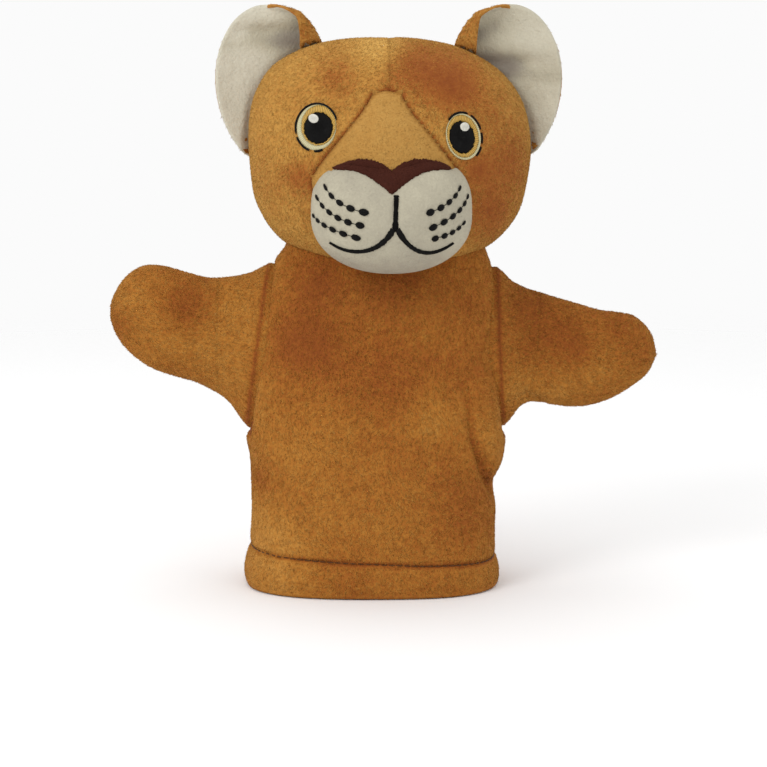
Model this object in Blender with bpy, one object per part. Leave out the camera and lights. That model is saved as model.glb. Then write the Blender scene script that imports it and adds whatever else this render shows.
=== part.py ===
"""Animal hand puppet: a plush glove with two mitten arms and a stuffed head on a finger pocket.

Metres, +Z up. The origin is the middle of the wrist opening, the face looks along -Y.
"""
import math

import bmesh
import bpy
from mathutils import Vector

MM = 0.001
FIT = 0.3 * MM  # gap between two pieces that touch
TINY = 0.001 * MM  # points closer than this are one point

# Glove body
BODY_HEIGHT = 127.5 * MM
HEM_HALF_WIDTH = 50.5 * MM
WAIST_HALF_WIDTH = 48.0 * MM
CHEST_HALF_WIDTH = 50.0 * MM
SHOULDER_HALF_WIDTH = 45.0 * MM
HEM_HALF_DEPTH = 36.0 * MM
CHEST_HALF_DEPTH = 28.0 * MM
SHOULDER_HALF_DEPTH = 21.0 * MM
WAIST_HEIGHT = 36.0 * MM
SHOULDER_HEIGHT = BODY_HEIGHT - 8.5 * MM
CHEST_HEIGHT = SHOULDER_HEIGHT - 31.0 * MM
BODY_WALL = 1.6 * MM
BODY_POWER = 2.5  # how square the body is seen from above
NECK_HOLE_RADIUS = 17.0 * MM
HEM_DEEP = 15.6 * MM
HEM_FACING_WALL = 1.2 * MM
HEM_THREAD_RADIUS = 0.55 * MM

# Arms
ARM_LENGTH = 62.0 * MM
ARM_HALF_HEIGHT = 23.0 * MM
ARM_HALF_DEPTH = 13.5 * MM
ARM_WALL = 1.5 * MM
ARM_START = 3.0 * MM  # from the shoulder pivot to the open end
ARMHOLE_HALF_HEIGHT = 30.0 * MM
ARMHOLE_HALF_DEPTH = 21.5 * MM
ARM_THREAD_RADIUS = 0.8 * MM
ARMHOLE_CLEARANCE = 1.3 * MM
SHOULDER_PIVOT_X = 47.5 * MM
SHOULDER_PIVOT_Z = BODY_HEIGHT - 32.0 * MM
LEFT_ARM_REST = 14.0  # degrees up from level
RIGHT_ARM_REST = -3.0

# Neck
NECK_PIVOT_HEIGHT = BODY_HEIGHT + 4.0 * MM
NECK_LEAN = 5.0 * MM  # the neck stands this far to +X of the wrist
NECK_SLEEVE_RADIUS = 13.5 * MM
NECK_SLEEVE_WALL = 1.2 * MM
NECK_SLEEVE_BOTTOM = BODY_HEIGHT - 15.5 * MM
NECK_SLEEVE_TOP = BODY_HEIGHT - 2.5 * MM
NECK_THREAD_RADIUS = 0.8 * MM

# Head
HEAD_CENTRE = Vector((6.2 * MM, 0.0, BODY_HEIGHT + 48.0 * MM))
HEAD_HALF_WIDTH = 55.0 * MM
HEAD_HALF_DEPTH = 46.0 * MM
HEAD_ABOVE = 40.5 * MM
HEAD_BELOW = 40.0 * MM
HEAD_WALL = 1.6 * MM
HEAD_POWER = 2.6  # how square the head is seen from the front
HEAD_ROUND = 2.2  # how square it is seen from above
HEAD_HOLE_HALF_DEPTH = 16.5 * MM
HEAD_SEAM_Y = 3.0 * MM  # plane of the seam between face and back
FINGER_RADIUS = 11.0 * MM
FINGER_POCKET_WALL = 1.2 * MM
FINGER_POCKET_BOTTOM = BODY_HEIGHT + 9.0 * MM
FINGER_POCKET_TOP = BODY_HEIGHT + 62.5 * MM
POCKET_CLEARANCE = 0.6 * MM

# Nose bridge
BRIDGE_TOP = HEAD_CENTRE.z + 18.5 * MM
BRIDGE_LENGTH = 45.0 * MM
BRIDGE_TOP_HALF = 5.0 * MM
BRIDGE_FLARE = 28.0 * MM
BRIDGE_X = 5.0 * MM

# Muzzle
MUZZLE_CENTRE = Vector((6.8 * MM, -36.0 * MM, HEAD_CENTRE.z - 27.0 * MM))
MUZZLE_HALF_WIDTH = 30.5 * MM
MUZZLE_HALF_DEPTH = 25.0 * MM
MUZZLE_HALF_HEIGHT = 22.0 * MM
MUZZLE_WALL = 1.6 * MM
MUZZLE_POWER = 2.4
MUZZLE_BACK_Y = -30.0 * MM
CHIN_SEAM_HEIGHT = MUZZLE_CENTRE.z - 14.5 * MM

# Sewn face details
NOSE_HALF_WIDTH = 22.2 * MM
NOSE_X = 6.9 * MM
NOSE_BOTTOM = MUZZLE_CENTRE.z + 9.0 * MM
NOSE_WING = MUZZLE_CENTRE.z + 17.4 * MM
NOSE_HUMP = 4.2 * MM
STITCH_LIFT = 0.4 * MM  # underside of a stitched piece above the plush
STITCH_THICK = 0.9 * MM
THREAD_RADIUS = 0.45 * MM
# Eyes: middles in millimetres, the second number from the head's middle height
LEFT_EYE = {"iris": (-21.1, 5.8), "iris_half": (7.2, 8.0), "lean": 8.0,
            "pupil": (-20.4, 5.8), "pupil_half": (5.3, 5.6),
            "light": (-21.4, 8.7), "light_half": 2.0, "outline": (35.0, 285.0)}
RIGHT_EYE = {"iris": (33.5, 2.5), "iris_half": (6.4, 8.2), "lean": -4.0,
             "pupil": (32.8, 2.5), "pupil_half": (4.7, 5.8),
             "light": (34.0, 5.7), "light_half": 1.7, "outline": (135.0, -70.0)}
MOUTH_HALF_WIDTH = 1.0 * MM
WHISKER_THREAD = 0.3 * MM
WHISKER_DOT = 1.15 * MM

# Ears
EAR_X = 47.5 * MM  # ear middle from the head's middle
EAR_Z = HEAD_CENTRE.z + 22.5 * MM
EAR_HALF_WIDTH = 20.5 * MM
EAR_HALF_HEIGHT = 31.0 * MM
EAR_TILT = 12.0
EAR_CUP = 8.0 * MM
EAR_RIM_Y = -1.0 * MM
EAR_WALL = 1.6 * MM
EAR_LINING_WALL = 1.2 * MM
EAR_RIM_WIDTH = 2.5 * MM

HEAD_CROWN_ANGLE = 84.0  # the last ring before the crown's fan
HEAD_STEPS = 28
HEAD_ROWS = 11
BODY_STEPS = 32
ARM_STEPS = 16


def start_empty():
    for thing in list(bpy.data.objects):
        bpy.data.objects.remove(thing, do_unlink=True)


def make_material(name, colour, roughness):
    """colour is sRGB from 0 to 255."""
    linear = [((c / 255 + 0.055) / 1.055) ** 2.4 for c in colour]
    material = bpy.data.materials.new(name)
    material.use_nodes = True
    shader = material.node_tree.nodes["Principled BSDF"]
    shader.inputs["Base Color"].default_value = (*linear, 1.0)
    shader.inputs["Roughness"].default_value = roughness
    shader.inputs["Metallic"].default_value = 0.0
    return material


def finish(name, bm, colour=None, roughness=0.95, smooth=True):
    """Turns a bmesh into a linked object with faces outwards; no colour makes it a cutter."""
    bmesh.ops.remove_doubles(bm, verts=bm.verts, dist=TINY)
    bmesh.ops.dissolve_degenerate(bm, edges=bm.edges, dist=TINY)
    bmesh.ops.recalc_face_normals(bm, faces=bm.faces)
    mesh = bpy.data.meshes.new(name)
    bm.to_mesh(mesh)
    bm.free()
    thing = bpy.data.objects.new(name, mesh)
    bpy.context.scene.collection.objects.link(thing)
    if colour is None:
        thing.hide_render = True
        thing.display_type = "WIRE"
        return thing
    mesh.materials.append(make_material(name, colour, roughness))
    for face in mesh.polygons:
        face.use_smooth = smooth
    return thing


def cut(thing, cutter, operation):
    modifier = thing.modifiers.new(operation.lower(), "BOOLEAN")
    modifier.operation = operation
    modifier.solver = "EXACT"
    modifier.object = cutter


def loft(rings, closed=False):
    """Skins rings with equal point counts; open ends get a fan to their middle."""
    bm = bmesh.new()
    rows = [[bm.verts.new(point) for point in ring] for ring in rings]
    pairs = list(zip(rows, rows[1:]))
    if closed:
        pairs.append((rows[-1], rows[0]))
    for low, high in pairs:
        for index in range(len(low)):
            after = (index + 1) % len(low)
            bm.faces.new((low[index], low[after], high[after], high[index]))
    if not closed:
        for row in (rows[0], rows[-1]):
            middle = sum((v.co for v in row), Vector()) / len(row)
            hub = bm.verts.new(middle)
            for index in range(len(row)):
                bm.faces.new((row[index], row[(index + 1) % len(row)], hub))
    return bm


def power_circle(angle, power):
    """Point of a unit superellipse at an angle."""
    c, s = math.cos(angle), math.sin(angle)
    return (math.copysign(abs(c) ** (2 / power), c), math.copysign(abs(s) ** (2 / power), s))


def flat_ring(middle, half_x, half_y, power, steps):
    """Level superellipse ring."""
    points = []
    for step in range(steps):
        x, y = power_circle(2 * math.pi * (step + 0.5) / steps, power)
        points.append(Vector((middle[0] + half_x * x, middle[1] + half_y * y, middle[2])))
    return points


def box(name, low, high):
    bm = bmesh.new()
    bmesh.ops.create_cube(bm, size=1.0)
    for v in bm.verts:
        v.co = Vector([low[i] if v.co[i] < 0 else high[i] for i in range(3)])
    return finish(name, bm)


def prism(name, outline, near_y, far_y):
    """Cutter that stands along Y on an outline of (x, z) points."""
    bm = bmesh.new()
    near = [bm.verts.new((x, near_y, z)) for x, z in outline]
    far = [bm.verts.new((x, far_y, z)) for x, z in outline]
    bm.faces.new(near)
    bm.faces.new(list(reversed(far)))
    for index in range(len(outline)):
        after = (index + 1) % len(outline)
        bm.faces.new((near[index], far[index], far[after], near[after]))
    bmesh.ops.triangulate(bm, faces=bm.faces)
    return finish(name, bm)


# ---- glove body


def body_lean(height):
    """Sideways drift of the body's middle, which starts above the waist."""
    t = max(0.0, (height - WAIST_HEIGHT) / (BODY_HEIGHT - WAIST_HEIGHT))
    return NECK_LEAN * t * t


def blend(low, high, t):
    t = min(1.0, max(0.0, t))
    return low + (high - low) * t * t * (3 - 2 * t)


def body_half_sizes(height):
    """Half width and half depth of the body's outside at a height."""
    if height < WAIST_HEIGHT:
        t = height / WAIST_HEIGHT
        across = blend(HEM_HALF_WIDTH, WAIST_HALF_WIDTH, t)
    elif height < CHEST_HEIGHT:
        t = (height - WAIST_HEIGHT) / (CHEST_HEIGHT - WAIST_HEIGHT)
        across = blend(WAIST_HALF_WIDTH, CHEST_HALF_WIDTH, t)
    else:
        t = (height - CHEST_HEIGHT) / (SHOULDER_HEIGHT - CHEST_HEIGHT)
        across = blend(CHEST_HALF_WIDTH, SHOULDER_HALF_WIDTH, t)
    deep = blend(HEM_HALF_DEPTH, CHEST_HALF_DEPTH, height / CHEST_HEIGHT)
    if height > CHEST_HEIGHT:
        t = (height - CHEST_HEIGHT) / (SHOULDER_HEIGHT - CHEST_HEIGHT)
        deep = blend(CHEST_HALF_DEPTH, SHOULDER_HALF_DEPTH, t)
    return across, deep


def body_ring(height, inset, steps=BODY_STEPS):
    across, deep = body_half_sizes(height)
    middle = (body_lean(height), 0.0, height)
    return flat_ring(middle, across - inset, deep - inset, BODY_POWER, steps)


def shoulder_rings(inset, rows=3, steps=BODY_STEPS):
    """Rings that close the body from the shoulder in to the neck hole."""
    across, deep = body_half_sizes(SHOULDER_HEIGHT)
    rings = []
    for row in range(1, rows + 1):
        turn = math.pi / 2 * row / rows
        height = SHOULDER_HEIGHT + (BODY_HEIGHT - inset - SHOULDER_HEIGHT) * math.sin(turn)
        hole = NECK_HOLE_RADIUS
        half_x = hole + (across - inset - hole) * math.cos(turn)
        half_y = hole + (deep - inset - hole) * math.cos(turn)
        power = 2 + (BODY_POWER - 2) * math.cos(turn)
        middle = (body_lean(height), 0.0, height)
        rings.append(flat_ring(middle, half_x, half_y, power, steps))
    return rings


def body_shell():
    heights = [0.0, HEM_DEEP, WAIST_HEIGHT, 0.5 * (WAIST_HEIGHT + CHEST_HEIGHT), CHEST_HEIGHT,
               0.5 * (CHEST_HEIGHT + SHOULDER_HEIGHT), SHOULDER_HEIGHT]
    outside = [body_ring(height, 0.0) for height in heights] + shoulder_rings(0.0)
    inside = [body_ring(height, BODY_WALL) for height in heights] + shoulder_rings(BODY_WALL)
    return loft(outside + inside[::-1], closed=True)


def shoulder_pivot(side):
    """side is -1 for the arm at -X and 1 for the arm at +X."""
    return Vector((side * SHOULDER_PIVOT_X + body_lean(SHOULDER_PIVOT_Z), 0.0, SHOULDER_PIVOT_Z))


def armhole_cutter(side):
    steps = 24
    pivot = shoulder_pivot(side)
    rings = []
    for x in (0.35 * SHOULDER_PIVOT_X, 2.0 * SHOULDER_PIVOT_X):
        ring = []
        for step in range(steps):
            c, s = power_circle(2 * math.pi * (step + 0.5) / steps, 2.0)
            ring.append(Vector((side * x, ARMHOLE_HALF_DEPTH * c, pivot.z + ARMHOLE_HALF_HEIGHT * s)))
        rings.append(ring)
    return finish("cutter_armhole_%s" % ("left" if side < 0 else "right"), loft(rings))


def body_panels(plush):
    reach = 2 * HEM_HALF_WIDTH
    front_half = box("cutter_front", (-reach, -reach, -reach), (reach, -FIT / 2, 2 * reach))
    back_half = box("cutter_back", (-reach, FIT / 2, -reach), (reach, reach, 2 * reach))
    holes = [armhole_cutter(side) for side in (-1, 1)]
    for name, half in (("front_panel", front_half), ("back_panel", back_half)):
        panel = finish(name, body_shell(), plush)
        cut(panel, half, "INTERSECT")
        for hole in holes:
            cut(panel, hole, "DIFFERENCE")


def hem_facing(plush):
    """The end of the cloth, turned up inside the wrist opening."""
    heights = (0.0, HEM_DEEP)
    outer_inset = BODY_WALL + FIT
    inner_inset = outer_inset + HEM_FACING_WALL
    outside = [body_ring(height, outer_inset) for height in heights]
    inside = [body_ring(height, inner_inset) for height in heights]
    finish("hem_facing", loft(outside + inside[::-1], closed=True), plush)


def hem_topstitch(thread):
    """Sewing thread that runs round the outside and holds the turned-up hem."""
    rings = []
    for step in range(5):
        turn = 2 * math.pi * step / 5
        out = HEM_THREAD_RADIUS + FIT + HEM_THREAD_RADIUS * math.cos(turn)
        ring = body_ring(HEM_DEEP, -out)
        rings.append([point + Vector((0, 0, HEM_THREAD_RADIUS * math.sin(turn))) for point in ring])
    finish("hem_topstitch", loft(rings, closed=True), thread, 0.6)


# ---- arms


def arm_ring(along, thin, steps=ARM_STEPS):
    """Ring of the mitten at a distance from its pivot, in the arm's own frame."""
    length = ARM_LENGTH - thin
    full = (1 - (along / length) ** 3) ** (1 / 3)
    points = []
    for step in range(steps):
        c, s = power_circle(2 * math.pi * (step + 0.5) / steps, 2.0)
        points.append(Vector((along, (ARM_HALF_DEPTH - thin) * full * c,
                              (ARM_HALF_HEIGHT - thin) * full * s)))
    return points


def mitten():
    """Thin closed mitten, open at the shoulder end."""
    shares = (0.0, 0.25, 0.5, 0.72, 0.87, 0.96, 0.995)
    outside = []
    inside = []
    for share in shares:
        start = ARM_START
        outside.append(arm_ring(start + (ARM_LENGTH - start) * share, 0.0))
        inside.append(arm_ring(start + (ARM_LENGTH - ARM_WALL - start) * share, ARM_WALL))
    return loft(outside[::-1] + inside)


def place_arm(thing, side):
    """Sets the piece on its shoulder pivot, turned to its rest angle."""
    thing.location = shoulder_pivot(side)
    lift = RIGHT_ARM_REST if side > 0 else LEFT_ARM_REST
    thing.rotation_euler = (0.0, math.radians(-side * lift), 0.0)
    for v in thing.data.vertices:
        v.co.x *= side
    if side < 0:
        thing.data.flip_normals()


def arm_pieces(side, plush, thread):
    word = "left" if side < 0 else "right"
    reach = 2 * ARM_LENGTH
    for name, low, high in (("front", -reach, -FIT / 2), ("back", FIT / 2, reach)):
        palm = finish("%s_arm_%s" % (word, name), mitten(), plush)
        half = box("cutter_%s_arm_%s" % (word, name), (-reach, low, -reach), (reach, high, reach))
        place_arm(palm, side)
        place_arm(half, side)
        cut(palm, half, "INTERSECT")
    seam_ring(word, side, thread)


def seam_ring(word, side, thread):
    """Thread round the armhole, which the sleeve swings in."""
    steps = 24
    sides = 5
    half_height = ARMHOLE_HALF_HEIGHT - ARMHOLE_CLEARANCE - ARM_THREAD_RADIUS
    half_depth = ARMHOLE_HALF_DEPTH - ARMHOLE_CLEARANCE - ARM_THREAD_RADIUS
    rings = []
    for step in range(steps):
        turn = 2 * math.pi * step / steps
        out = Vector((0, math.cos(turn), math.sin(turn)))
        middle = Vector((0, half_depth * out.y, half_height * out.z))
        ring = []
        for corner in range(sides):
            a = 2 * math.pi * corner / sides
            ring.append(middle + ARM_THREAD_RADIUS * (math.cos(a) * out + Vector((math.sin(a), 0, 0))))
        rings.append(ring)
    place_arm(finish("%s_armhole_thread" % word, loft(rings, closed=True), thread, 0.6), side)


# ---- neck


def level_tube(name, outer, wall, bottom, top, colour, steps=24):
    middle = (NECK_LEAN, 0.0)
    rings = []
    for radius, height in ((outer, bottom), (outer, top), (outer - wall, top), (outer - wall, bottom)):
        rings.append(flat_ring((*middle, height), radius, radius, 2.0, steps))
    return finish(name, loft(rings, closed=True), colour)


def neck_thread(thread):
    steps = 24
    rings = []
    for corner in range(6):
        a = 2 * math.pi * corner / 6
        radius = NECK_SLEEVE_RADIUS + NECK_THREAD_RADIUS * math.cos(a)
        height = NECK_PIVOT_HEIGHT + NECK_THREAD_RADIUS * math.sin(a)
        rings.append(flat_ring((NECK_LEAN, 0.0, height), radius, radius, 2.0, steps))
    finish("neck_thread", loft(rings, closed=True), thread, 0.6)


# ---- head


def head_ring(angle, grow, steps=HEAD_STEPS):
    """Level ring of the head; the angle runs from -90 at its underside to 90 at its crown."""
    c, s = power_circle(math.radians(angle), HEAD_POWER)
    reach = (HEAD_ABOVE if s > 0 else HEAD_BELOW) + grow
    height = HEAD_CENTRE.z + reach * s
    deep = max(0.0, 1 - abs(s) ** HEAD_ROUND) ** (1 / HEAD_ROUND)
    middle = (HEAD_CENTRE.x, HEAD_CENTRE.y, height)
    return flat_ring(middle, (HEAD_HALF_WIDTH + grow) * c, (HEAD_HALF_DEPTH + grow) * deep,
                     HEAD_ROUND, steps)


def head_angles():
    """Angles of the rings, from the edge of the neck hole to the crown."""
    share = 1 - (HEAD_HOLE_HALF_DEPTH / HEAD_HALF_DEPTH) ** HEAD_ROUND
    first = -math.degrees(math.asin(share ** (HEAD_POWER / (2 * HEAD_ROUND))))
    gap = (HEAD_CROWN_ANGLE - first) / (HEAD_ROWS - 1)
    return [first + gap * row for row in range(HEAD_ROWS)]


def head_shell():
    angles = head_angles()
    outside = [head_ring(angle, 0.0) for angle in angles]
    inside = [head_ring(angle, -HEAD_WALL) for angle in angles]
    return loft(outside[::-1] + inside)


def head_solid(grow, name=None):
    rings = [head_ring(angle, grow) for angle in [-HEAD_CROWN_ANGLE] + head_angles()]
    bm = loft(rings)
    return finish(name, bm) if name else bm


def bridge_outline(grow):
    """Outline of the nose bridge, narrow between the eyes and flared round the muzzle."""
    rows = 10
    right = []
    for row in range(rows + 1):
        t = row / rows
        half = BRIDGE_TOP_HALF + BRIDGE_FLARE * math.sin(math.pi / 2 * t) ** 1.3 + grow
        right.append((half, BRIDGE_TOP + grow - (BRIDGE_LENGTH + 2 * grow) * t))
    top = [(0.0, BRIDGE_TOP + grow + 0.25 * BRIDGE_TOP_HALF)]
    left = [(-x, z) for x, z in right[::-1]]
    return [(BRIDGE_X + x, z) for x, z in top + right + left]


def head_panels(plush, pale_plush):
    far = 2 * HEAD_HALF_WIDTH
    seam = HEAD_CENTRE.x
    low = HEAD_CENTRE.z - far
    high = HEAD_CENTRE.z + far
    bridge_in = prism("cutter_bridge", bridge_outline(0.0), -far, 0.0)
    bridge_out = prism("cutter_bridge_gap", bridge_outline(FIT), -far, 0.0)
    for word, side in (("left", -1), ("right", 1)):
        x_range = sorted((seam + side * FIT / 2, seam + side * far))
        front = box("cutter_face_" + word, (x_range[0], -far, low), (x_range[1], HEAD_SEAM_Y, high))
        back = box("cutter_back_" + word, (x_range[0], HEAD_SEAM_Y + FIT, low), (x_range[1], far, high))
        face = finish("face_" + word, head_shell(), plush)
        cut(face, front, "INTERSECT")
        cut(face, bridge_out, "DIFFERENCE")
        rear = finish("head_back_" + word, head_shell(), plush)
        cut(rear, back, "INTERSECT")
    bridge = finish("bridge_gusset", head_shell(), pale_plush)
    cut(bridge, bridge_in, "INTERSECT")


def head_inside(filling, lining):
    stuffing = finish("head_stuffing", head_solid(-HEAD_WALL - FIT), filling)
    radius = FINGER_RADIUS + FINGER_POCKET_WALL + POCKET_CLEARANCE
    steps = 20
    heights = (HEAD_CENTRE.z - 2 * HEAD_BELOW, FINGER_POCKET_TOP + POCKET_CLEARANCE)
    rings = [flat_ring((NECK_LEAN, 0.0, z), radius, radius, 2.0, steps) for z in heights]
    cut(stuffing, finish("cutter_pocket", loft(rings)), "DIFFERENCE")
    finish("finger_pocket", pocket_mesh(steps), lining)


def pocket_mesh(steps):
    outer = FINGER_RADIUS + FINGER_POCKET_WALL
    inner = FINGER_RADIUS
    rings = []
    dome = 3
    for radius, top in ((outer, FINGER_POCKET_TOP), (inner, FINGER_POCKET_TOP - FINGER_POCKET_WALL)):
        column = [flat_ring((NECK_LEAN, 0.0, FINGER_POCKET_BOTTOM), radius, radius, 2.0, steps)]
        for row in range(dome):
            turn = math.pi / 2 * row / dome
            height = top - radius + radius * math.sin(turn)
            wide = radius * math.cos(turn)
            column.append(flat_ring((NECK_LEAN, 0.0, height), wide, wide, 2.0, steps))
        rings.append(column)
    return loft(rings[0][::-1] + rings[1])


# ---- muzzle


def muzzle_solid(grow, steps=24, rows=11):
    """Rounded muzzle with its poles at the left and right sides of its own middle."""
    rings = []
    for row in range(1, rows):
        turn = math.pi * row / rows
        c, s = power_circle(turn, 2.0)
        ring = []
        for step in range(steps):
            x, z = power_circle(2 * math.pi * (step + 0.5) / steps, MUZZLE_POWER)
            ring.append(MUZZLE_CENTRE + Vector(((MUZZLE_HALF_WIDTH + grow) * s * x,
                                                -(MUZZLE_HALF_DEPTH + grow) * c,
                                                (MUZZLE_HALF_HEIGHT + grow) * s * z)))
        rings.append(ring)
    return loft(rings)


def muzzle_pieces(cream, filling):
    head = head_solid(FIT, "cutter_head")
    hollow = finish("cutter_muzzle_inside", muzzle_solid(-MUZZLE_WALL))
    far = 2 * HEAD_HALF_WIDTH
    seam = CHIN_SEAM_HEIGHT
    upper = box("cutter_muzzle_upper", (-far, -far, seam + FIT), (far, MUZZLE_BACK_Y, 4 * far))
    lower = box("cutter_chin", (-far, -far, 0.0), (far, MUZZLE_BACK_Y, seam))
    inner = box("cutter_muzzle_back", (-far, -far, 0.0), (far, MUZZLE_BACK_Y, 4 * far))
    for name, keep in (("muzzle", upper), ("chin_panel", lower)):
        skin = finish(name, muzzle_solid(0.0), cream)
        cut(skin, hollow, "DIFFERENCE")
        cut(skin, keep, "INTERSECT")
        cut(skin, head, "DIFFERENCE")
    stuffing = finish("muzzle_stuffing", muzzle_solid(-MUZZLE_WALL - FIT), filling)
    cut(stuffing, inner, "INTERSECT")
    cut(stuffing, head, "DIFFERENCE")


# ---- face surface and what is sewn on it


def head_front(x, z):
    """y of the head's front over a point of the face, or 0 beyond its edge."""
    rise = z - HEAD_CENTRE.z
    up = min(0.999, abs(rise) / (HEAD_ABOVE if rise > 0 else HEAD_BELOW))
    wide = HEAD_HALF_WIDTH * (1 - up ** HEAD_POWER) ** (1 / HEAD_POWER)
    deep = HEAD_HALF_DEPTH * (1 - up ** HEAD_ROUND) ** (1 / HEAD_ROUND)
    out = min(1.0, abs(x - HEAD_CENTRE.x) / wide)
    return -deep * (1 - out ** HEAD_ROUND) ** (1 / HEAD_ROUND)


def muzzle_front(x, z):
    across = abs(x - MUZZLE_CENTRE.x) / MUZZLE_HALF_WIDTH
    up = abs(z - MUZZLE_CENTRE.z) / MUZZLE_HALF_HEIGHT
    out = (across ** MUZZLE_POWER + up ** MUZZLE_POWER) ** (1 / MUZZLE_POWER)
    if out >= 1:
        return 0.0
    return MUZZLE_CENTRE.y - MUZZLE_HALF_DEPTH * math.sqrt(1 - out * out)


def face_point(x, z, lift):
    """Point at a height above the face, along the face's own normal."""
    def front(a, b):
        return min(head_front(a, b), muzzle_front(a, b))
    step = 0.5 * MM
    slope_x = (front(x + step, z) - front(x - step, z)) / (2 * step)
    slope_z = (front(x, z + step) - front(x, z - step)) / (2 * step)
    normal = Vector((slope_x, -1.0, slope_z)).normalized()
    return Vector((x, front(x, z), z)) + lift * normal


def sewn_patch(name, place, columns, rows, colour, round_way=False, roughness=0.7):
    """Padded satin patch: place(u, v) gives (x, z) over the face for u and v from 0 to 1."""
    bm = bmesh.new()
    layers = []
    around = columns if round_way else columns + 1
    for lift in (STITCH_LIFT, STITCH_LIFT + STITCH_THICK):
        layers.append([[bm.verts.new(face_point(*place(column / columns, row / rows), lift))
                        for row in range(rows + 1)] for column in range(around)])
    spans = columns if round_way else around - 1
    for layer in layers:
        for column in range(spans):
            here, there = layer[column], layer[(column + 1) % around]
            for row in range(rows):
                bm.faces.new((here[row], there[row], there[row + 1], here[row + 1]))
    low, high = layers
    for column in range(spans):
        for row in (0, rows):
            after = (column + 1) % around
            bm.faces.new((low[column][row], low[after][row], high[after][row], high[column][row]))
    if not round_way:
        for column in (0, around - 1):
            for row in range(rows):
                bm.faces.new((low[column][row], low[column][row + 1],
                              high[column][row + 1], high[column][row]))
    return finish(name, bm, colour, roughness)


def ellipse_point(middle, half, lean, angle):
    """Point in metres of an ellipse in millimetres from the head's middle height, leaning by degrees."""
    x = half[0] * math.cos(angle)
    z = half[1] * math.sin(angle)
    turn = math.radians(-lean)
    return ((middle[0] + x * math.cos(turn) - z * math.sin(turn)) * MM,
            HEAD_CENTRE.z + (middle[1] + x * math.sin(turn) + z * math.cos(turn)) * MM)


def sewn_ring(name, inner, outer, colour, roughness, steps=24, rows=1):
    """Patch between two ellipses; each is (middle, half sizes, lean)."""
    def place(u, v):
        a = ellipse_point(*inner, 2 * math.pi * u)
        b = ellipse_point(*outer, 2 * math.pi * u)
        return (a[0] + (b[0] - a[0]) * v, a[1] + (b[1] - a[1]) * v)
    return sewn_patch(name, place, steps, rows, colour, True, roughness)


def sewn_disc(name, middle, half, colour, roughness, steps=14):
    """Closed round patch with a point in its middle."""
    bm = bmesh.new()
    caps = []
    for lift in (STITCH_LIFT, STITCH_LIFT + STITCH_THICK):
        hub = bm.verts.new(face_point(middle[0] * MM, HEAD_CENTRE.z + middle[1] * MM, lift))
        rim = [bm.verts.new(face_point(*ellipse_point(middle, (half, half), 0.0,
                                                      2 * math.pi * step / steps), lift))
               for step in range(steps)]
        for step in range(steps):
            bm.faces.new((rim[step], rim[(step + 1) % steps], hub))
        caps.append(rim)
    for step in range(steps):
        after = (step + 1) % steps
        bm.faces.new((caps[0][step], caps[0][after], caps[1][after], caps[1][step]))
    return finish(name, bm, colour, roughness)


def sewn_thread(name, path, radius, steps, colour, sides=6):
    """Round thread laid on the face; path(t) gives (x, z) and radius(t) its half thickness."""
    rings = []
    for step in range(steps + 1):
        t = step / steps
        size = radius(t)
        lift = STITCH_LIFT + radius(0.5) + THREAD_RADIUS
        here = face_point(*path(t), lift)
        ahead = face_point(*path(min(1.0, t + 0.01)), lift)
        behind = face_point(*path(max(0.0, t - 0.01)), lift)
        along = (ahead - behind).normalized()
        out = Vector((0, -1, 0))
        across = along.cross(out).normalized()
        out = across.cross(along)
        ring = []
        for side in range(sides):
            a = 2 * math.pi * side / sides
            ring.append(here + size * (math.cos(a) * across + math.sin(a) * out))
        rings.append(ring)
    return finish(name, loft(rings), colour, 0.6)


def eye(word, sizes, colours):
    gap = FIT / MM
    iris = (sizes["iris"], sizes["iris_half"], sizes["lean"])
    pupil_half = sizes["pupil_half"]
    pupil = (sizes["pupil"], pupil_half, sizes["lean"])
    socket = (sizes["pupil"], (pupil_half[0] + gap, pupil_half[1] + gap), sizes["lean"])
    light = sizes["light_half"]
    light_socket = (sizes["light"], (light + gap, light + gap), 0.0)
    sewn_ring(word + "_eye_iris", socket, iris, colours["iris"], 0.6)
    sewn_ring(word + "_eye_pupil", light_socket, pupil, colours["black"], 0.45)
    sewn_disc(word + "_eye_highlight", sizes["light"], light, colours["white"], 0.5)
    thread_mm = THREAD_RADIUS / MM
    half = [size + gap + 1.5 * thread_mm for size in sizes["iris_half"]]
    first, last = sizes["outline"]

    def path(t):
        return ellipse_point(sizes["iris"], half, sizes["lean"], math.radians(first + (last - first) * t))
    sewn_thread(word + "_eye_outline", path, lambda t: THREAD_RADIUS, 16, colours["black"], 5)


def nose(colour):
    def place(u, v):
        share = 2 * u - 1
        upper = NOSE_WING + NOSE_HUMP * math.sin(math.pi * abs(share)) ** 0.8
        lower = NOSE_BOTTOM + (NOSE_WING - NOSE_BOTTOM) * (1 - (1 - abs(share)) ** 2.2)
        return (NOSE_X + NOSE_HALF_WIDTH * 0.985 * share, lower + (upper - lower) * v)
    sewn_patch("nose", place, 18, 3, colour)


def curve(points, t):
    """Bezier of three or four (x, z) points in millimetres, z from the head's middle; gives metres."""
    points = [Vector(point) for point in points]
    while len(points) > 1:
        points = [a.lerp(b, t) for a, b in zip(points, points[1:])]
    return (points[0].x * MM, HEAD_CENTRE.z + points[0].y * MM)


def mouth(colour):
    lines = {
        "mouth_centre_stitch": [(8.5, -20.0), (8.2, -25.5), (8.0, -29.9)],
        "mouth_left_stitch": [(6.2, -32.1), (2.0, -39.5), (-8.0, -42.0), (-15.5, -36.5)],
        "mouth_right_stitch": [(9.8, -32.1), (13.0, -39.5), (21.0, -43.0), (29.0, -36.7)],
    }
    for name, points in lines.items():
        tail = 0.35 if len(points) == 4 else 1.0

        def half_width(t, tail=tail):
            return MOUTH_HALF_WIDTH * (1 + (tail - 1) * t * t)
        sewn_thread(name, lambda t, p=points: curve(p, t), half_width, 9, colour, 5)


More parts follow.
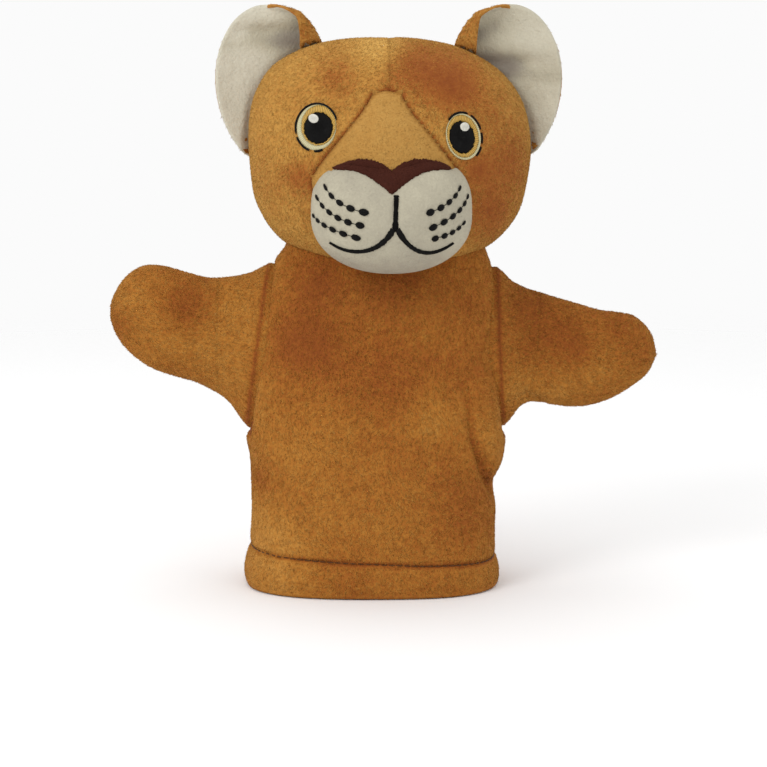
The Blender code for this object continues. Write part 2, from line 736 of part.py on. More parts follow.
def whiskers(colour):
    """Rows of knots, largest by the mouth, each worked in one thread."""
    rows = {
        "whisker_left_upper": ((-17.5, -16.3), (-12.2, -21.3), (-3.7, -24.4), 5),
        "whisker_left_middle": ((-20.6, -20.1), (-14.5, -26.1), (-5.2, -28.9), 6),
        "whisker_left_lower": ((-21.8, -26.9), (-16.5, -30.7), (-6.7, -33.3), 6),
        "whisker_right_upper": ((31.7, -16.7), (27.9, -21.3), (21.2, -24.3), 5),
        "whisker_right_middle": ((34.6, -19.9), (30.6, -25.6), (22.3, -29.6), 6),
        "whisker_right_lower": ((33.3, -29.3), (29.0, -32.6), (23.1, -33.9), 4),
    }
    for name, (start, middle, end, knots) in rows.items():
        bend = tuple(2 * m - (a + b) / 2 for a, m, b in zip(start, middle, end))

        def radius(t, knots=knots):
            beat = abs(math.cos(math.pi * t * (knots - 1))) ** 6
            return WHISKER_THREAD + (WHISKER_DOT - WHISKER_THREAD) * beat * (0.45 + 0.55 * t)
        path = (lambda t, p=(start, bend, end): curve(p, t))
        sewn_thread(name, path, radius, 4 * (knots - 1), colour, 5)


# ---- ears


def ear_shell(side, front, back, narrower):
    """Cupped disc between two depths behind its rim, open towards -Y."""
    steps = 20
    rows = 4
    bm = bmesh.new()
    layers = []
    turn = math.radians(EAR_TILT) * side
    middle = Vector((HEAD_CENTRE.x + side * EAR_X, 0.0, EAR_Z))
    for depth in (front, back):
        rings = []
        for row in range(1, rows + 1):
            share = row / rows
            ring = []
            for step in range(steps):
                a = 2 * math.pi * step / steps
                x = (EAR_HALF_WIDTH - narrower) * share * math.cos(a)
                z = (EAR_HALF_HEIGHT - narrower) * share * math.sin(a)
                y = EAR_RIM_Y + EAR_CUP * (1 - share * share) + depth
                turned = Vector((x * math.cos(turn) - z * math.sin(turn), y,
                                 x * math.sin(turn) + z * math.cos(turn)))
                ring.append(bm.verts.new(middle + turned))
            rings.append(ring)
        hub = bm.verts.new(middle + Vector((0, EAR_RIM_Y + EAR_CUP + depth, 0)))
        for step in range(steps):
            after = (step + 1) % steps
            bm.faces.new((rings[0][step], rings[0][after], hub))
            for low, high in zip(rings, rings[1:]):
                bm.faces.new((low[step], low[after], high[after], high[step]))
        layers.append(rings[-1])
    for step in range(steps):
        after = (step + 1) % steps
        bm.faces.new((layers[0][step], layers[0][after], layers[1][after], layers[1][step]))
    return bm


def ears(plush, cream):
    head = head_solid(FIT, "cutter_head_for_ears")
    for word, side in (("left", -1), ("right", 1)):
        outer = finish(word + "_ear_back", ear_shell(side, 0.0, EAR_WALL, 0.0), plush)
        cut(outer, head, "DIFFERENCE")
        lining_back = -FIT - 0.2 * MM
        lining = finish(word + "_ear_lining",
                        ear_shell(side, lining_back - EAR_LINING_WALL, lining_back, EAR_RIM_WIDTH), cream)
        cut(lining, head, "DIFFERENCE")


def build():
    start_empty()
    plush = (158, 103, 46)
    head_plush = (176, 122, 54)
    pale_plush = (190, 146, 76)
    cream = (200, 192, 168)
    lining = (150, 104, 60)
    filling = (236, 234, 228)
    dark = (30, 22, 16)
    brown = (74, 33, 22)
    eye_colours = {"iris": (201, 163, 70), "black": (16, 14, 12), "white": (226, 222, 204)}
    body_panels(plush)
    hem_facing(plush)
    hem_topstitch(dark)
    for side in (-1, 1):
        arm_pieces(side, plush, dark)
    level_tube("neck_sleeve", NECK_SLEEVE_RADIUS, NECK_SLEEVE_WALL, NECK_SLEEVE_BOTTOM,
               NECK_SLEEVE_TOP, lining)
    neck_thread(dark)
    head_panels(head_plush, pale_plush)
    head_inside(filling, lining)
    muzzle_pieces(cream, filling)
    nose(brown)
    mouth(dark)
    whiskers(dark)
    eye("left", LEFT_EYE, eye_colours)
    eye("right", RIGHT_EYE, eye_colours)
    ears(head_plush, cream)


build()
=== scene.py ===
import math

import bmesh
import bpy
import numpy as np
from mathutils import Matrix, Vector, kdtree, noise


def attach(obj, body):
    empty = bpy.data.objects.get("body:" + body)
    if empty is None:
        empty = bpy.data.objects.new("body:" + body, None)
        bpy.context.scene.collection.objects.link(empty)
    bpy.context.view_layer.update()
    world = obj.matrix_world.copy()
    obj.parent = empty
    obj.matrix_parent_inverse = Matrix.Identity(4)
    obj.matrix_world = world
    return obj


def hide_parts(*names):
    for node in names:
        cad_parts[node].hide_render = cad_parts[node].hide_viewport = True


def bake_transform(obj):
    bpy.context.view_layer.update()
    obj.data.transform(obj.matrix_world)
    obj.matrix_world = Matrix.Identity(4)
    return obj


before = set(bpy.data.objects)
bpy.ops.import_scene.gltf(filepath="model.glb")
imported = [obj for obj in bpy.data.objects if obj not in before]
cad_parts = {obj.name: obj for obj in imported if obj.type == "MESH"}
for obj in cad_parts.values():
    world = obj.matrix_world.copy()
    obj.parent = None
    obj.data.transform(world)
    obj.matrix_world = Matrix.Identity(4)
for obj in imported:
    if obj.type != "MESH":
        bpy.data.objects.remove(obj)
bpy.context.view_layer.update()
mm = 0.001

# camera and studio
cameraSetup = {"stands": (0.0038, -0.7922, 0.1907), "looksAt": (0.0038, 0.0, 0.0794), "lens": 93.9}
studio = {"floor": "#FBFBFB", "floorSize": 30.0, "world": 0.9, "backdrop": 0.965, "fade": (0.35, 1.2),
          "lights": [  # name, place, size, power, what it lights
              ("keyLight", (-0.75, -0.85, 0.85), 0.6, 5.2, (0, 0, 0.12)),
              ("fillLight", (0.8, -0.9, 0.45), 0.9, 0.6, (0, 0, 0.12)),
              ("topLight", (-0.1, 0.1, 1.1), 0.8, 1.6, (0, 0, 0.15))]}


def linearColour(code):  # sRGB hex to linear
    parts = [int(code[i:i + 2], 16) / 255 for i in (1, 3, 5)]
    return tuple(c / 12.92 if c <= 0.04045 else ((c + 0.055) / 1.055) ** 2.4 for c in parts)


def addNode(tree, kind, settings=None, inputs=None):  # settings are properties; inputs are values or links
    node = tree.nodes.new(kind)
    for key, value in (settings or {}).items():
        setattr(node, key, value)
    for key, value in (inputs or {}).items():
        if isinstance(value, bpy.types.NodeSocket):
            tree.links.new(value, node.inputs[key])
        else:
            node.inputs[key].default_value = value
    return node


def aim(thing, place, target):
    thing.location = place
    thing.rotation_euler = (Vector(target) - Vector(place)).to_track_quat("-Z", "Y").to_euler()


# materials


def newMaterial(name):
    material = bpy.data.materials.new(name)
    material.use_nodes = True
    tree = material.node_tree
    return material, tree, tree.nodes["Principled BSDF"], addNode(tree,
                                                                  "ShaderNodeTexCoord").outputs["Object"]


def makeStudio():
    scene = bpy.context.scene
    scene.view_settings.view_transform = "Standard"  # cloth colours come out as they are mixed
    camera = bpy.data.objects.new("camera", bpy.data.cameras.new("camera"))
    camera.data.lens = cameraSetup["lens"]
    camera.data.sensor_width = 36.0
    camera.data.clip_start = 0.05
    scene.collection.objects.link(camera)
    aim(camera, cameraSetup["stands"], cameraSetup["looksAt"])
    scene.camera = camera
    for name, place, size, power, target in studio["lights"]:
        light = bpy.data.objects.new(name, bpy.data.lights.new(name, "AREA"))
        light.data.shape = "DISK"
        light.data.size = size
        light.data.energy = power
        scene.collection.objects.link(light)
        aim(light, place, target)
    world = bpy.data.worlds.new("studioWorld")
    scene.world = world
    world.use_nodes = True
    back = world.node_tree.nodes["Background"]
    back.inputs["Color"].default_value = (1, 1, 1, 1)
    cameraRay = addNode(world.node_tree, "ShaderNodeLightPath").outputs["Is Camera Ray"]
    strength = addNode(world.node_tree, "ShaderNodeMapRange", None,
                       {"Value": cameraRay, "To Min": studio["world"], "To Max": studio["backdrop"]})
    world.node_tree.links.new(strength.outputs[0], back.inputs["Strength"])
    bm = bmesh.new()
    bmesh.ops.create_grid(bm, x_segments=1, y_segments=1, size=studio["floorSize"] / 2)
    mesh = bpy.data.meshes.new("floor")
    bm.to_mesh(mesh)
    bm.free()
    floor = bpy.data.objects.new("floor", mesh)
    floor.location.z = -0.0005
    scene.collection.objects.link(floor)
    paint, tree, shader, coords = newMaterial("floorPaint")
    shader.inputs["Base Color"].default_value = (*linearColour(studio["floor"]), 1)
    shader.inputs["Roughness"].default_value = 0.9
    far = addNode(tree, "ShaderNodeVectorMath", {"operation": "LENGTH"}, {0: coords}).outputs["Value"]
    fade = addNode(tree, "ShaderNodeMapRange", {"interpolation_type": "SMOOTHSTEP"},
                   {"Value": far, "From Min": studio["fade"][0],
                    "From Max": studio["fade"][1]}).outputs["Result"]
    clear = addNode(tree, "ShaderNodeBsdfTransparent").outputs["BSDF"]
    mixed = addNode(tree, "ShaderNodeMixShader", None, {0: fade, 1: shader.outputs["BSDF"], 2: clear})
    tree.links.new(mixed.outputs[0], tree.nodes["Material Output"].inputs["Surface"])
    mesh.materials.append(paint)


makeStudio()
print("studio ready")


def noiseNode(tree, coords, scale, detail, roughness=0.5):
    return addNode(tree, "ShaderNodeTexNoise", None, {"Vector": coords, "Scale": scale, "Detail": detail,
                                                      "Roughness": roughness}).outputs["Fac"]


def mathNode(tree, operation, *values):
    return addNode(tree, "ShaderNodeMath", {"operation": operation}, dict(enumerate(values))).outputs[0]


def setColour(tree, shader, level, stops, smooth):  # level picks a colour between the stops
    ramp = addNode(tree, "ShaderNodeValToRGB", None, {"Fac": level})
    ramp.color_ramp.interpolation = smooth
    while len(ramp.color_ramp.elements) < len(stops):
        ramp.color_ramp.elements.new(0.5)
    for element, (place, code) in zip(ramp.color_ramp.elements, stops):
        element.position = place
        element.color = (*linearColour(code), 1)
    tree.links.new(ramp.outputs["Color"], shader.inputs["Base Color"])


def setRough(tree, shader, value, low, high):
    rough = addNode(tree, "ShaderNodeMapRange", None, {"Value": value, "To Min": low, "To Max": high})
    tree.links.new(rough.outputs[0], shader.inputs["Roughness"])


def setRelief(tree, shader, strength, distance, height, base=None):
    inputs = {"Strength": strength, "Distance": distance, "Height": height}
    if base:
        inputs["Normal"] = base
    relief = addNode(tree, "ShaderNodeBump", None, inputs).outputs["Normal"]
    tree.links.new(relief, shader.inputs["Normal"])
    return relief


def plushMaterial(name, look):
    # knitted polyester minky: 1.5 mm brushed pile over a knitted back; the pile leans in patches,
    # so the eye sees broad light and dark clouds, a fine speckle of tufts and a soft light rim
    material, tree, shader, coords = newMaterial(name)
    level = addNode(tree, "ShaderNodeAttribute", {"attribute_name": "pileTint"}).outputs["Fac"]
    grain = {}
    for word, detail, roughness in (("cloud", 3.0, 0.55), ("stroke", 2.0, 0.6), ("tuft", 3.0, 0.65)):
        grain[word] = noiseNode(tree, coords, look[word + "Scale"], detail, roughness)
        level = mathNode(tree, "MULTIPLY_ADD", grain[word], look[word + "Amount"], level)
    middle = 0.5 * (look["cloudAmount"] + look["strokeAmount"] + look["tuftAmount"])
    setColour(tree, shader, mathNode(tree, "SUBTRACT", level, middle),
              list(zip((0.0, 0.3, 0.5, 0.72, 1.0), look["colours"])), "B_SPLINE")
    setRough(tree, shader, grain["tuft"], 0.82, 1.0)
    shader.inputs["Specular IOR Level"].default_value = 0.15
    shader.inputs["Sheen Weight"].default_value = look["sheen"]
    shader.inputs["Sheen Roughness"].default_value = 0.55
    shader.inputs["Sheen Tint"].default_value = (*linearColour(look["sheenTint"]), 1)
    fine = setRelief(tree, shader, look["bump"], 0.0006, grain["tuft"])
    setRelief(tree, shader, 0.35, 0.0015, grain["stroke"], fine)
    return material


def clothMaterial(name, look):
    # woven polyester lining, or loose fibre fill where the weave is nought: matt, a faint crossing of yarns
    material, tree, shader, coords = newMaterial(name)
    turned = addNode(tree, "ShaderNodeMapping", None, {"Vector": coords, "Rotation": (0.0, math.radians(90),
                                                                                      0.0)})
    yarns = [addNode(tree, "ShaderNodeTexWave", None, {"Vector": way, "Scale": look["yarn"],
                                                       "Distortion": 1.5})
             for way in (coords, turned.outputs["Vector"])]
    weave = mathNode(tree, "MULTIPLY", yarns[0].outputs["Fac"], yarns[1].outputs["Fac"])
    fluff = noiseNode(tree, coords, look["fluff"], 4.0)
    level = addNode(tree, "ShaderNodeMix", None, {0: look["fluffShare"], 2: weave, 3: fluff}).outputs[0]
    setColour(tree, shader, level, list(zip((0.0, 1.0), look["colours"])), "LINEAR")
    setRough(tree, shader, fluff, 0.75, 0.98)
    shader.inputs["Specular IOR Level"].default_value = 0.25
    setRelief(tree, shader, 0.6, 0.0003, level)
    return material


def threadMaterial(name, code, dark, light, rough, gloss):
    # trilobal polyester embroidery thread in satin stitch: fine parallel strands with a silky gloss
    material, tree, shader, coords = newMaterial(name)
    uv = addNode(tree, "ShaderNodeUVMap", {"uv_map": "stitch"}).outputs["UV"]
    split = addNode(tree, "ShaderNodeSeparateXYZ", None, {"Vector": uv})
    wander = noiseNode(tree, coords, 900.0, 2.0)
    strand = mathNode(tree, "PINGPONG", mathNode(tree, "MULTIPLY_ADD", wander, 0.5, split.outputs["X"]),
                      0.5)
    # painted shade between strands and painted highlight along each strand's middle
    paintedShading = addNode(tree, "ShaderNodeMapRange", None,
                    {"Value": strand, "From Max": 0.5, "To Min": dark, "To Max": light}).outputs[0]
    colour = addNode(tree, "ShaderNodeMix", {"data_type": "RGBA", "blend_type": "MULTIPLY"},
                     {0: 1.0, 6: (*linearColour(code), 1), 7: paintedShading})
    tree.links.new(colour.outputs[2], shader.inputs["Base Color"])
    setRough(tree, shader, wander, rough - 0.1, rough + 0.1)
    shader.inputs["Anisotropic"].default_value = 0.4
    shader.inputs["Specular IOR Level"].default_value = gloss
    setRelief(tree, shader, 0.8, 0.00025, strand)
    return material


plushLooks = {  # colours go from the darkest patches to the lightest
    "bodyPlush": {
        "cloudScale": 32.0, "strokeScale": 330.0, "tuftScale": 1000.0,
        "cloudAmount": 0.42, "strokeAmount": 0.3, "tuftAmount": 0.5,
        "sheen": 0.12, "sheenTint": "#D09850", "bump": 0.6,
        "colours": ("#683212", "#8E4C1D", "#9D6023", "#B07830", "#C9964F")},
    "headPlush": {
        "cloudScale": 30.0, "strokeScale": 330.0, "tuftScale": 1000.0,
        "cloudAmount": 0.4, "strokeAmount": 0.3, "tuftAmount": 0.45,
        "sheen": 0.12, "sheenTint": "#D8A860", "bump": 0.6,
        "colours": ("#7B3C18", "#9D5B25", "#B27F3A", "#C39348", "#D9AE60")},
    "bridgePlush": {
        "cloudScale": 40.0, "strokeScale": 260.0, "tuftScale": 950.0,
        "cloudAmount": 0.3, "strokeAmount": 0.18, "tuftAmount": 0.3,
        "sheen": 0.12, "sheenTint": "#DCB070", "bump": 0.7,
        "colours": ("#8B5A24", "#A37434", "#B18342", "#BE944F", "#D0A866")},
    "creamPlush": {
        "cloudScale": 40.0, "strokeScale": 260.0, "tuftScale": 1100.0,
        "cloudAmount": 0.4, "strokeAmount": 0.12, "tuftAmount": 0.25,
        "sheen": 0.08, "sheenTint": "#F4EAD8", "bump": 0.5,
        "colours": ("#82796E", "#9F9888", "#B5AE98", "#C5BFAB", "#D6D1C0")},
    "nosePlush": {
        "cloudScale": 60.0, "strokeScale": 300.0, "tuftScale": 1400.0,
        "cloudAmount": 0.3, "strokeAmount": 0.2, "tuftAmount": 0.4,
        "sheen": 0.2, "sheenTint": "#8A4A38", "bump": 0.9,
        "colours": ("#210A05", "#2F1108", "#3A180E", "#431E14", "#542B1D")},
}
clothLooks = {
    "liningCloth": {"yarn": 420.0, "fluff": 600.0, "fluffShare": 0.3, "colours": ("#6E4420", "#A3733C")},
    "fibreFill": {"yarn": 60.0, "fluff": 260.0, "fluffShare": 0.9, "colours": ("#C9C6BC", "#F0EEE6")},
}
threadLooks = {  # colour, its dark and light shares (painted shade between strands, painted highlight along each), roughness, gloss
    "blackThread": ("#080706", 0.4, 1.2, 0.5, 0.1),
    "goldThread": ("#CBA048", 0.3, 1.15, 0.45, 0.35),
    "creamThread": ("#CFC79C", 0.55, 1.05, 0.5, 0.35),
    "whiteThread": ("#E6E3D6", 0.8, 1.0, 0.4, 0.4),
    "hemThread": ("#5E3817", 0.6, 1.1, 0.5, 0.25),
}
materials = {name: plushMaterial(name, look) for name, look in plushLooks.items()}
materials.update({name: clothMaterial(name, look) for name, look in clothLooks.items()})
materials.update({name: threadMaterial(name, *look) for name, look in threadLooks.items()})
print("materials ready")

# helpers for shapes


def softLine(points, soft=3.0):  # smooth function through rough (place, size) points
    places = np.array([p[0] for p in points], float)
    sizes = np.array([p[1] for p in points], float)
    dense = np.linspace(places[0] - 12, places[-1] + 12, 600)
    raw = np.interp(dense, places, sizes)
    step = dense[1] - dense[0]
    reach = int(3 * soft / step) + 1
    kernel = np.exp(-0.5 * (np.arange(-reach, reach + 1) * step / soft) ** 2)
    smooth = np.convolve(np.pad(raw, reach, mode="edge"), kernel / kernel.sum(), mode="valid")
    return lambda v: np.interp(v, dense, smooth)


def splinePoints(points, count):  # evenly parametered curve through points
    knots = np.array(points, float)
    padded = np.vstack([2 * knots[0] - knots[1], knots, 2 * knots[-1] - knots[-2]])
    out = []
    for t in np.linspace(0, len(knots) - 1 - 1e-9, count):
        i = int(t)
        f = t - i
        p0, p1, p2, p3 = padded[i:i + 4]
        out.append(0.5 * (2 * p1 + (p2 - p0) * f + (2 * p0 - 5 * p1 + 4 * p2 - p3) * f * f
                          + (3 * p1 - p0 - 3 * p2 + p3) * f ** 3))
    return np.array(out)


def nearestOnLine(flat, line):  # distance of 2-D points to a line, the share along it, and the nearest spot
    best = np.full(len(flat), 1e9)
    where = np.zeros(len(flat))
    spots = flat.copy()
    for i, (a, b) in enumerate(zip(line, line[1:])):
        span = b - a
        t = np.clip(((flat - a) @ span) / max(span @ span, 1e-12), 0, 1)
        spot = a + t[:, None] * span
        gap = np.linalg.norm(flat - spot, axis=1)
        near = gap < best
        best[near], spots[near] = gap[near], spot[near]
        where[near] = (i + t[near]) / (len(line) - 1)
    return best, where, spots


def lineDistance(flat, *line):
    return nearestOnLine(flat, np.array(line))[:2]


def cloudNoise(points, scale, seed=0):  # soft noise, about -1 to 1
    offset = Vector((seed * 7.3, seed * 3.1, seed * 5.7))
    return np.array([noise.noise(Vector(p) * scale + offset) for p in points])


def makePiece(name, bm, material, smooth=True):
    mesh = bpy.data.meshes.new(name)
    bm.to_mesh(mesh)
    bm.free()
    thing = bpy.data.objects.new(name, mesh)
    bpy.context.scene.collection.objects.link(thing)
    mesh.materials.append(materials[material])
    mesh.polygons.foreach_set("use_smooth", [smooth] * len(mesh.polygons))
    return thing


def thicken(thing, wall):  # inwards, mm
    modifier = thing.modifiers.new("thickness", "SOLIDIFY")
    modifier.thickness = wall * mm
    modifier.offset = -1.0


def unitRows(rows):
    return rows / np.linalg.norm(rows, axis=-1, keepdims=True)


def getPoints(thing):
    flat = np.empty(len(thing.data.vertices) * 3)
    thing.data.vertices.foreach_get("co", flat)
    return flat.reshape(-1, 3)


def setPoints(thing, points):
    thing.data.vertices.foreach_set("co", np.ascontiguousarray(points, dtype=float).ravel())
    thing.data.update()


def setTint(thing, values):
    layer = thing.data.attributes.new("pileTint", "FLOAT", "POINT")
    layer.data.foreach_set("value", np.asarray(values, dtype=float))


def joinRings(bm, rings):  # faces look outwards where each ring is above the one before it
    for low, high in zip(rings, rings[1:]):
        for c in range(len(low)):
            d = (c + 1) % len(low)
            bm.faces.new((low[c], low[d], high[d], high[c]))


def makeRing(bm, columns, size, height):
    turns = [2 * math.pi * c / columns for c in range(columns)]
    return [bm.verts.new((size * math.cos(a), size * math.sin(a), height)) for a in turns]


def tubeGrid(columns, rows):  # open tube round Z
    bm = bmesh.new()
    joinRings(bm, [makeRing(bm, columns, 1, row) for row in range(rows + 1)])
    return bm


def ballGrid(columns, rows):  # closed ball of radius 1
    bm = bmesh.new()
    rises = [math.pi * row / rows for row in range(1, rows)]
    rings = [makeRing(bm, columns, math.sin(a), -math.cos(a)) for a in rises]
    joinRings(bm, rings)
    low, high = bm.verts.new((0, 0, -1)), bm.verts.new((0, 0, 1))
    for c in range(columns):
        d = (c + 1) % columns
        bm.faces.new((low, rings[0][d], rings[0][c]))
        bm.faces.new((high, rings[-1][c], rings[-1][d]))
    return bm


def tubeParts(points):  # angle and row of each tubeGrid vertex
    return np.arctan2(points[:, 1], points[:, 0]), points[:, 2]


def superRound(angle, power):
    c, s = np.cos(angle), np.sin(angle)
    return np.sign(c) * np.abs(c) ** (2 / power), np.sign(s) * np.abs(s) ** (2 / power)


# glove body

bodyShape = {
    "leftEdge": [(0, -50.9), (3, -51.9), (15, -49.6), (30, -48.9), (50, -49.0), (62, -51.2), (70, -50.2),
                 (80, -49.4), (104, -46.8), (120, -43.5), (128, -40.5), (134, -34.6), (142, -32.0)],
    "rightEdge": [(0, 49.9), (10, 48.6), (30, 48.9), (38.5, 47.0), (50, 49.8), (61, 53.0), (70, 51.6),
                  (80, 50.4), (104, 49.6), (120, 48.6), (128, 46.0), (134, 43.6), (142, 41.0)],
    "halfDepth": [(0, 36.0), (16, 34.5), (60, 31.0), (90, 28.5), (110, 26.0), (125, 22.0), (134, 18.5),
                  (142, 16.0)],
    "top": 136.0, "dome": 5.0, "power": 2.7, "columns": 216, "rows": 112, "domeRows": 10,
    "wall": 1.4, "hemStitch": 13.3, "hemSlope": -0.045,
    "tints": [  # x, z, reach, lighter or redder
        (-28, 98, 15, -0.3), (-22, 122, 11, -0.25), (-38, 68, 16, 0.04), (-36, 48, 13, 0.08), (-42, 26, 12,
                                                                                               0.18),
        (6, 90, 20, -0.16), (36, 112, 10, -0.08), (30, 92, 12, -0.08), (34, 28, 14, -0.14), (-40, 8, 14,
                                                                                             0.26),
        (8, 124, 16, -0.2), (-12, 34, 12, 0.1), (22, 70, 9, 0.12), (44, 64, 9, 0.1), (-46, 44, 6, -0.2)],
}
leftEdge = softLine(bodyShape["leftEdge"], 2.5)
rightEdge = softLine(bodyShape["rightEdge"], 2.5)
bodyDepth = softLine(bodyShape["halfDepth"], 5.0)


def blobTint(flat, blobs):  # sum of soft patches over (x, z) in mm
    total = np.zeros(len(flat))
    for x, z, reach, amount in blobs:
        total += amount * np.exp(-((flat[:, 0] - x) ** 2 + (flat[:, 1] - z) ** 2) / (reach * reach))
    return total


def bump(gap, width):
    return np.exp(-(gap / width) ** 2)


def bodySection(angle, height, inset):  # point of the body wall in mm
    left, right = leftEdge(height) + inset, rightEdge(height) - inset
    c, s = superRound(angle, bodyShape["power"])
    x = 0.5 * (left + right) + 0.5 * (right - left) * c
    y = (bodyDepth(height) - inset) * s
    return x, y


def hemLine(x):
    return bodyShape["hemStitch"] + bodyShape["hemSlope"] * x


bodyFoldLines = [  # points (x, z), outward push in mm, half width, share of the push at the first point
    ([(35.0, 82.0), (38.5, 62.0), (43.0, 48.0), (48.5, 36.0)], -4.4, 1.6, 0.2),
    ([(42.0, 78.0), (45.5, 62.0), (50.0, 50.0)], 2.0, 5.0, 1.0),
    ([(-40.0, 62.0), (-26.0, 54.0), (-14.0, 52.0)], -1.0, 5.0, 1.0),
    ([(-30.0, 116.0), (-14.0, 108.0), (6.0, 106.0)], -1.1, 6.0, 1.0),
    ([(10.0, 96.0), (14.0, 70.0), (12.0, 40.0)], 1.2, 8.0, 1.0)]
# painted shade: line of the right front crease along which the pile is darkened
creasePaintedShade = [(36.5, 76.0), (38.5, 62.0), (43.0, 48.0), (48.5, 36.0)]


def bodyFolds(x, z, front):
    push = np.zeros(len(x))
    for line, amount, width, first in bodyFoldLines:
        gap, along = lineDistance(np.stack([x, z], axis=1), *line)
        push += amount * bump(gap, width) * (first + (1 - first) * along) * front
    return push


def makeBody():
    look = bodyShape
    rows = look["rows"] + look["domeRows"]
    body = makePiece("bodyCloth", tubeGrid(look["columns"], rows), "bodyPlush")
    angle, row = tubeParts(getPoints(body))
    t = np.clip(row / look["rows"], 0, 1)
    height = look["top"] * t
    x, y = bodySection(angle, height, 0.0)
    over = np.clip((row - look["rows"]) / look["domeRows"], 0, 1)
    turn = over * math.pi / 2
    middle = 0.5 * (leftEdge(height) + rightEdge(height))
    shrink = np.where(over > 0, 0.25 + 0.75 * np.cos(turn), 1.0)
    x = middle + (x - middle) * shrink
    y = y * shrink
    height = height + look["dome"] * np.sin(turn)
    front = np.clip(-y / 12.0, 0, 1)
    out = np.stack([np.cos(angle), np.sin(angle)], axis=1)
    push = bodyFolds(x, height, front)
    lumps = cloudNoise(np.stack([x, y * 1.4, height], axis=1), 0.045, 2)
    push += 1.1 * lumps * np.clip(height / 25, 0.2, 1) * np.clip((134 - height) / 15, 0, 1)
    stitch = hemLine(x)
    push -= 0.9 * bump(height - stitch, 1.1)  # the stitch pulls the cloth in
    push += 0.9 * np.sin(np.pi * np.clip(height / stitch, 0, 1)) * (height < stitch)
    # painted shade: the pile is darkened along both arm seams, where their grooves fall in shade
    seamPaintedShade = np.zeros(len(x))
    for edge in (armSeams["left"], armSeams["right"]):
        gap, _ = lineDistance(np.stack([x, height], axis=1), *edge)
        push -= 2.0 * bump(gap, 1.8)
        seamPaintedShade = seamPaintedShade + bump(gap, 1.5)
    points = np.stack([x + out[:, 0] * push, y + out[:, 1] * push, height], axis=1)
    setPoints(body, points * mm)
    tint = 0.5 + blobTint(points[:, [0, 2]], look["tints"]) * np.where(points[:, 1] < 0, 1.0, 0.5)
    # painted shade: the pile is darkened along the crease, more towards its lower end
    crease, along = lineDistance(points[:, [0, 2]], *creasePaintedShade)
    tint -= 0.35 * bump(crease, 1.2) * (0.3 + 0.7 * along) * front
    # painted shade: the pile is darker along the arm seams and in the groove the hem stitch pulls in
    setTint(body, tint - 0.45 * seamPaintedShade - 0.35 * bump(height - stitch, 0.9))
    return body


def makeHemFacing():  # cloth end turned up inside the opening
    ring = makePiece("hemTurnUp", tubeGrid(160, 10), "bodyPlush")
    angle, row = tubeParts(getPoints(ring))
    height = row / 10 * 13.0
    x, y = bodySection(angle, height, 2.2)
    setPoints(ring, np.stack([x, y, height + 0.15], axis=1) * mm)
    setTint(ring, np.full(len(x), 0.45))
    thicken(ring, 1.1)
    return ring


def sweep(bm, path, radii, faceOut, sides, flat=1.0, uvScale=1.0):  # round thread along a path; closed ends
    layer = bm.loops.layers.uv.get("stitch") or bm.loops.layers.uv.new("stitch")
    count = len(path)
    rings = []
    for i in range(count):
        along = Vector(path[min(i + 1, count - 1)] - path[max(i - 1, 0)]).normalized()
        out = Vector(faceOut[i])
        across = along.cross(out).normalized()
        out = across.cross(along).normalized()
        middle = Vector(path[i])
        size = float(radii[i])
        turns = [2 * math.pi * k / sides for k in range(sides)]
        rings.append([
            bm.verts.new(middle + across * (size * math.cos(a)) + out * (size * flat * math.sin(a))) for a in turns])
    for i in range(count - 1):
        for k in range(sides):
            face = bm.faces.new((rings[i][k], rings[i][(k + 1) % sides], rings[i + 1][(k + 1) % sides],
                                 rings[i + 1][k]))
            for loop, (du, dv) in zip(face.loops, ((0, 0), (0, 1), (1, 1), (1, 0))):
                loop[layer].uv = ((i + du) * uvScale, (k + dv) / sides)
    for ring, flip in ((rings[0], True), (rings[-1], False)):
        bm.faces.new(ring[::-1] if flip else ring)


def makeHemStitch():  # lock stitches round the hem, one dark thread
    bm = bmesh.new()
    stitches, gap = 92, 0.08
    turns = np.linspace(0, 2 * np.pi, 2000)
    line = np.array([[*bodySection(np.array([a]), np.array([hemLine(49 * math.cos(a))]), 0.0),
                      np.array([0.0])]
                     for a in turns])[:, :, 0]
    line[:, 2] = hemLine(line[:, 0])
    steps = np.r_[0, np.cumsum(np.linalg.norm(np.diff(line, axis=0), axis=1))]
    total = steps[-1]
    for n in range(stitches):
        reach = np.linspace((n + gap / 2) / stitches, (n + 1 - gap / 2) / stitches, 7) * total
        points = np.stack([np.interp(reach, steps, line[:, k]) for k in range(3)], axis=1)
        ways = points[:, :2] / np.linalg.norm(points[:, :2], axis=1)[:, None]
        rise = np.sin(np.linspace(0, np.pi, 7)) * 0.35 - 0.75
        points[:, :2] += ways * rise[:, None]
        radii = 0.27 * (0.45 + 0.55 * np.sin(np.linspace(0.15, np.pi - 0.15, 7)))
        outs = np.c_[ways, np.zeros(7)]
        sweep(bm, points * mm, radii * mm, outs, 6, uvScale=1.2)
    bmesh.ops.recalc_face_normals(bm, faces=bm.faces)
    return makePiece("hemStitches", bm, "hemThread")


# arms

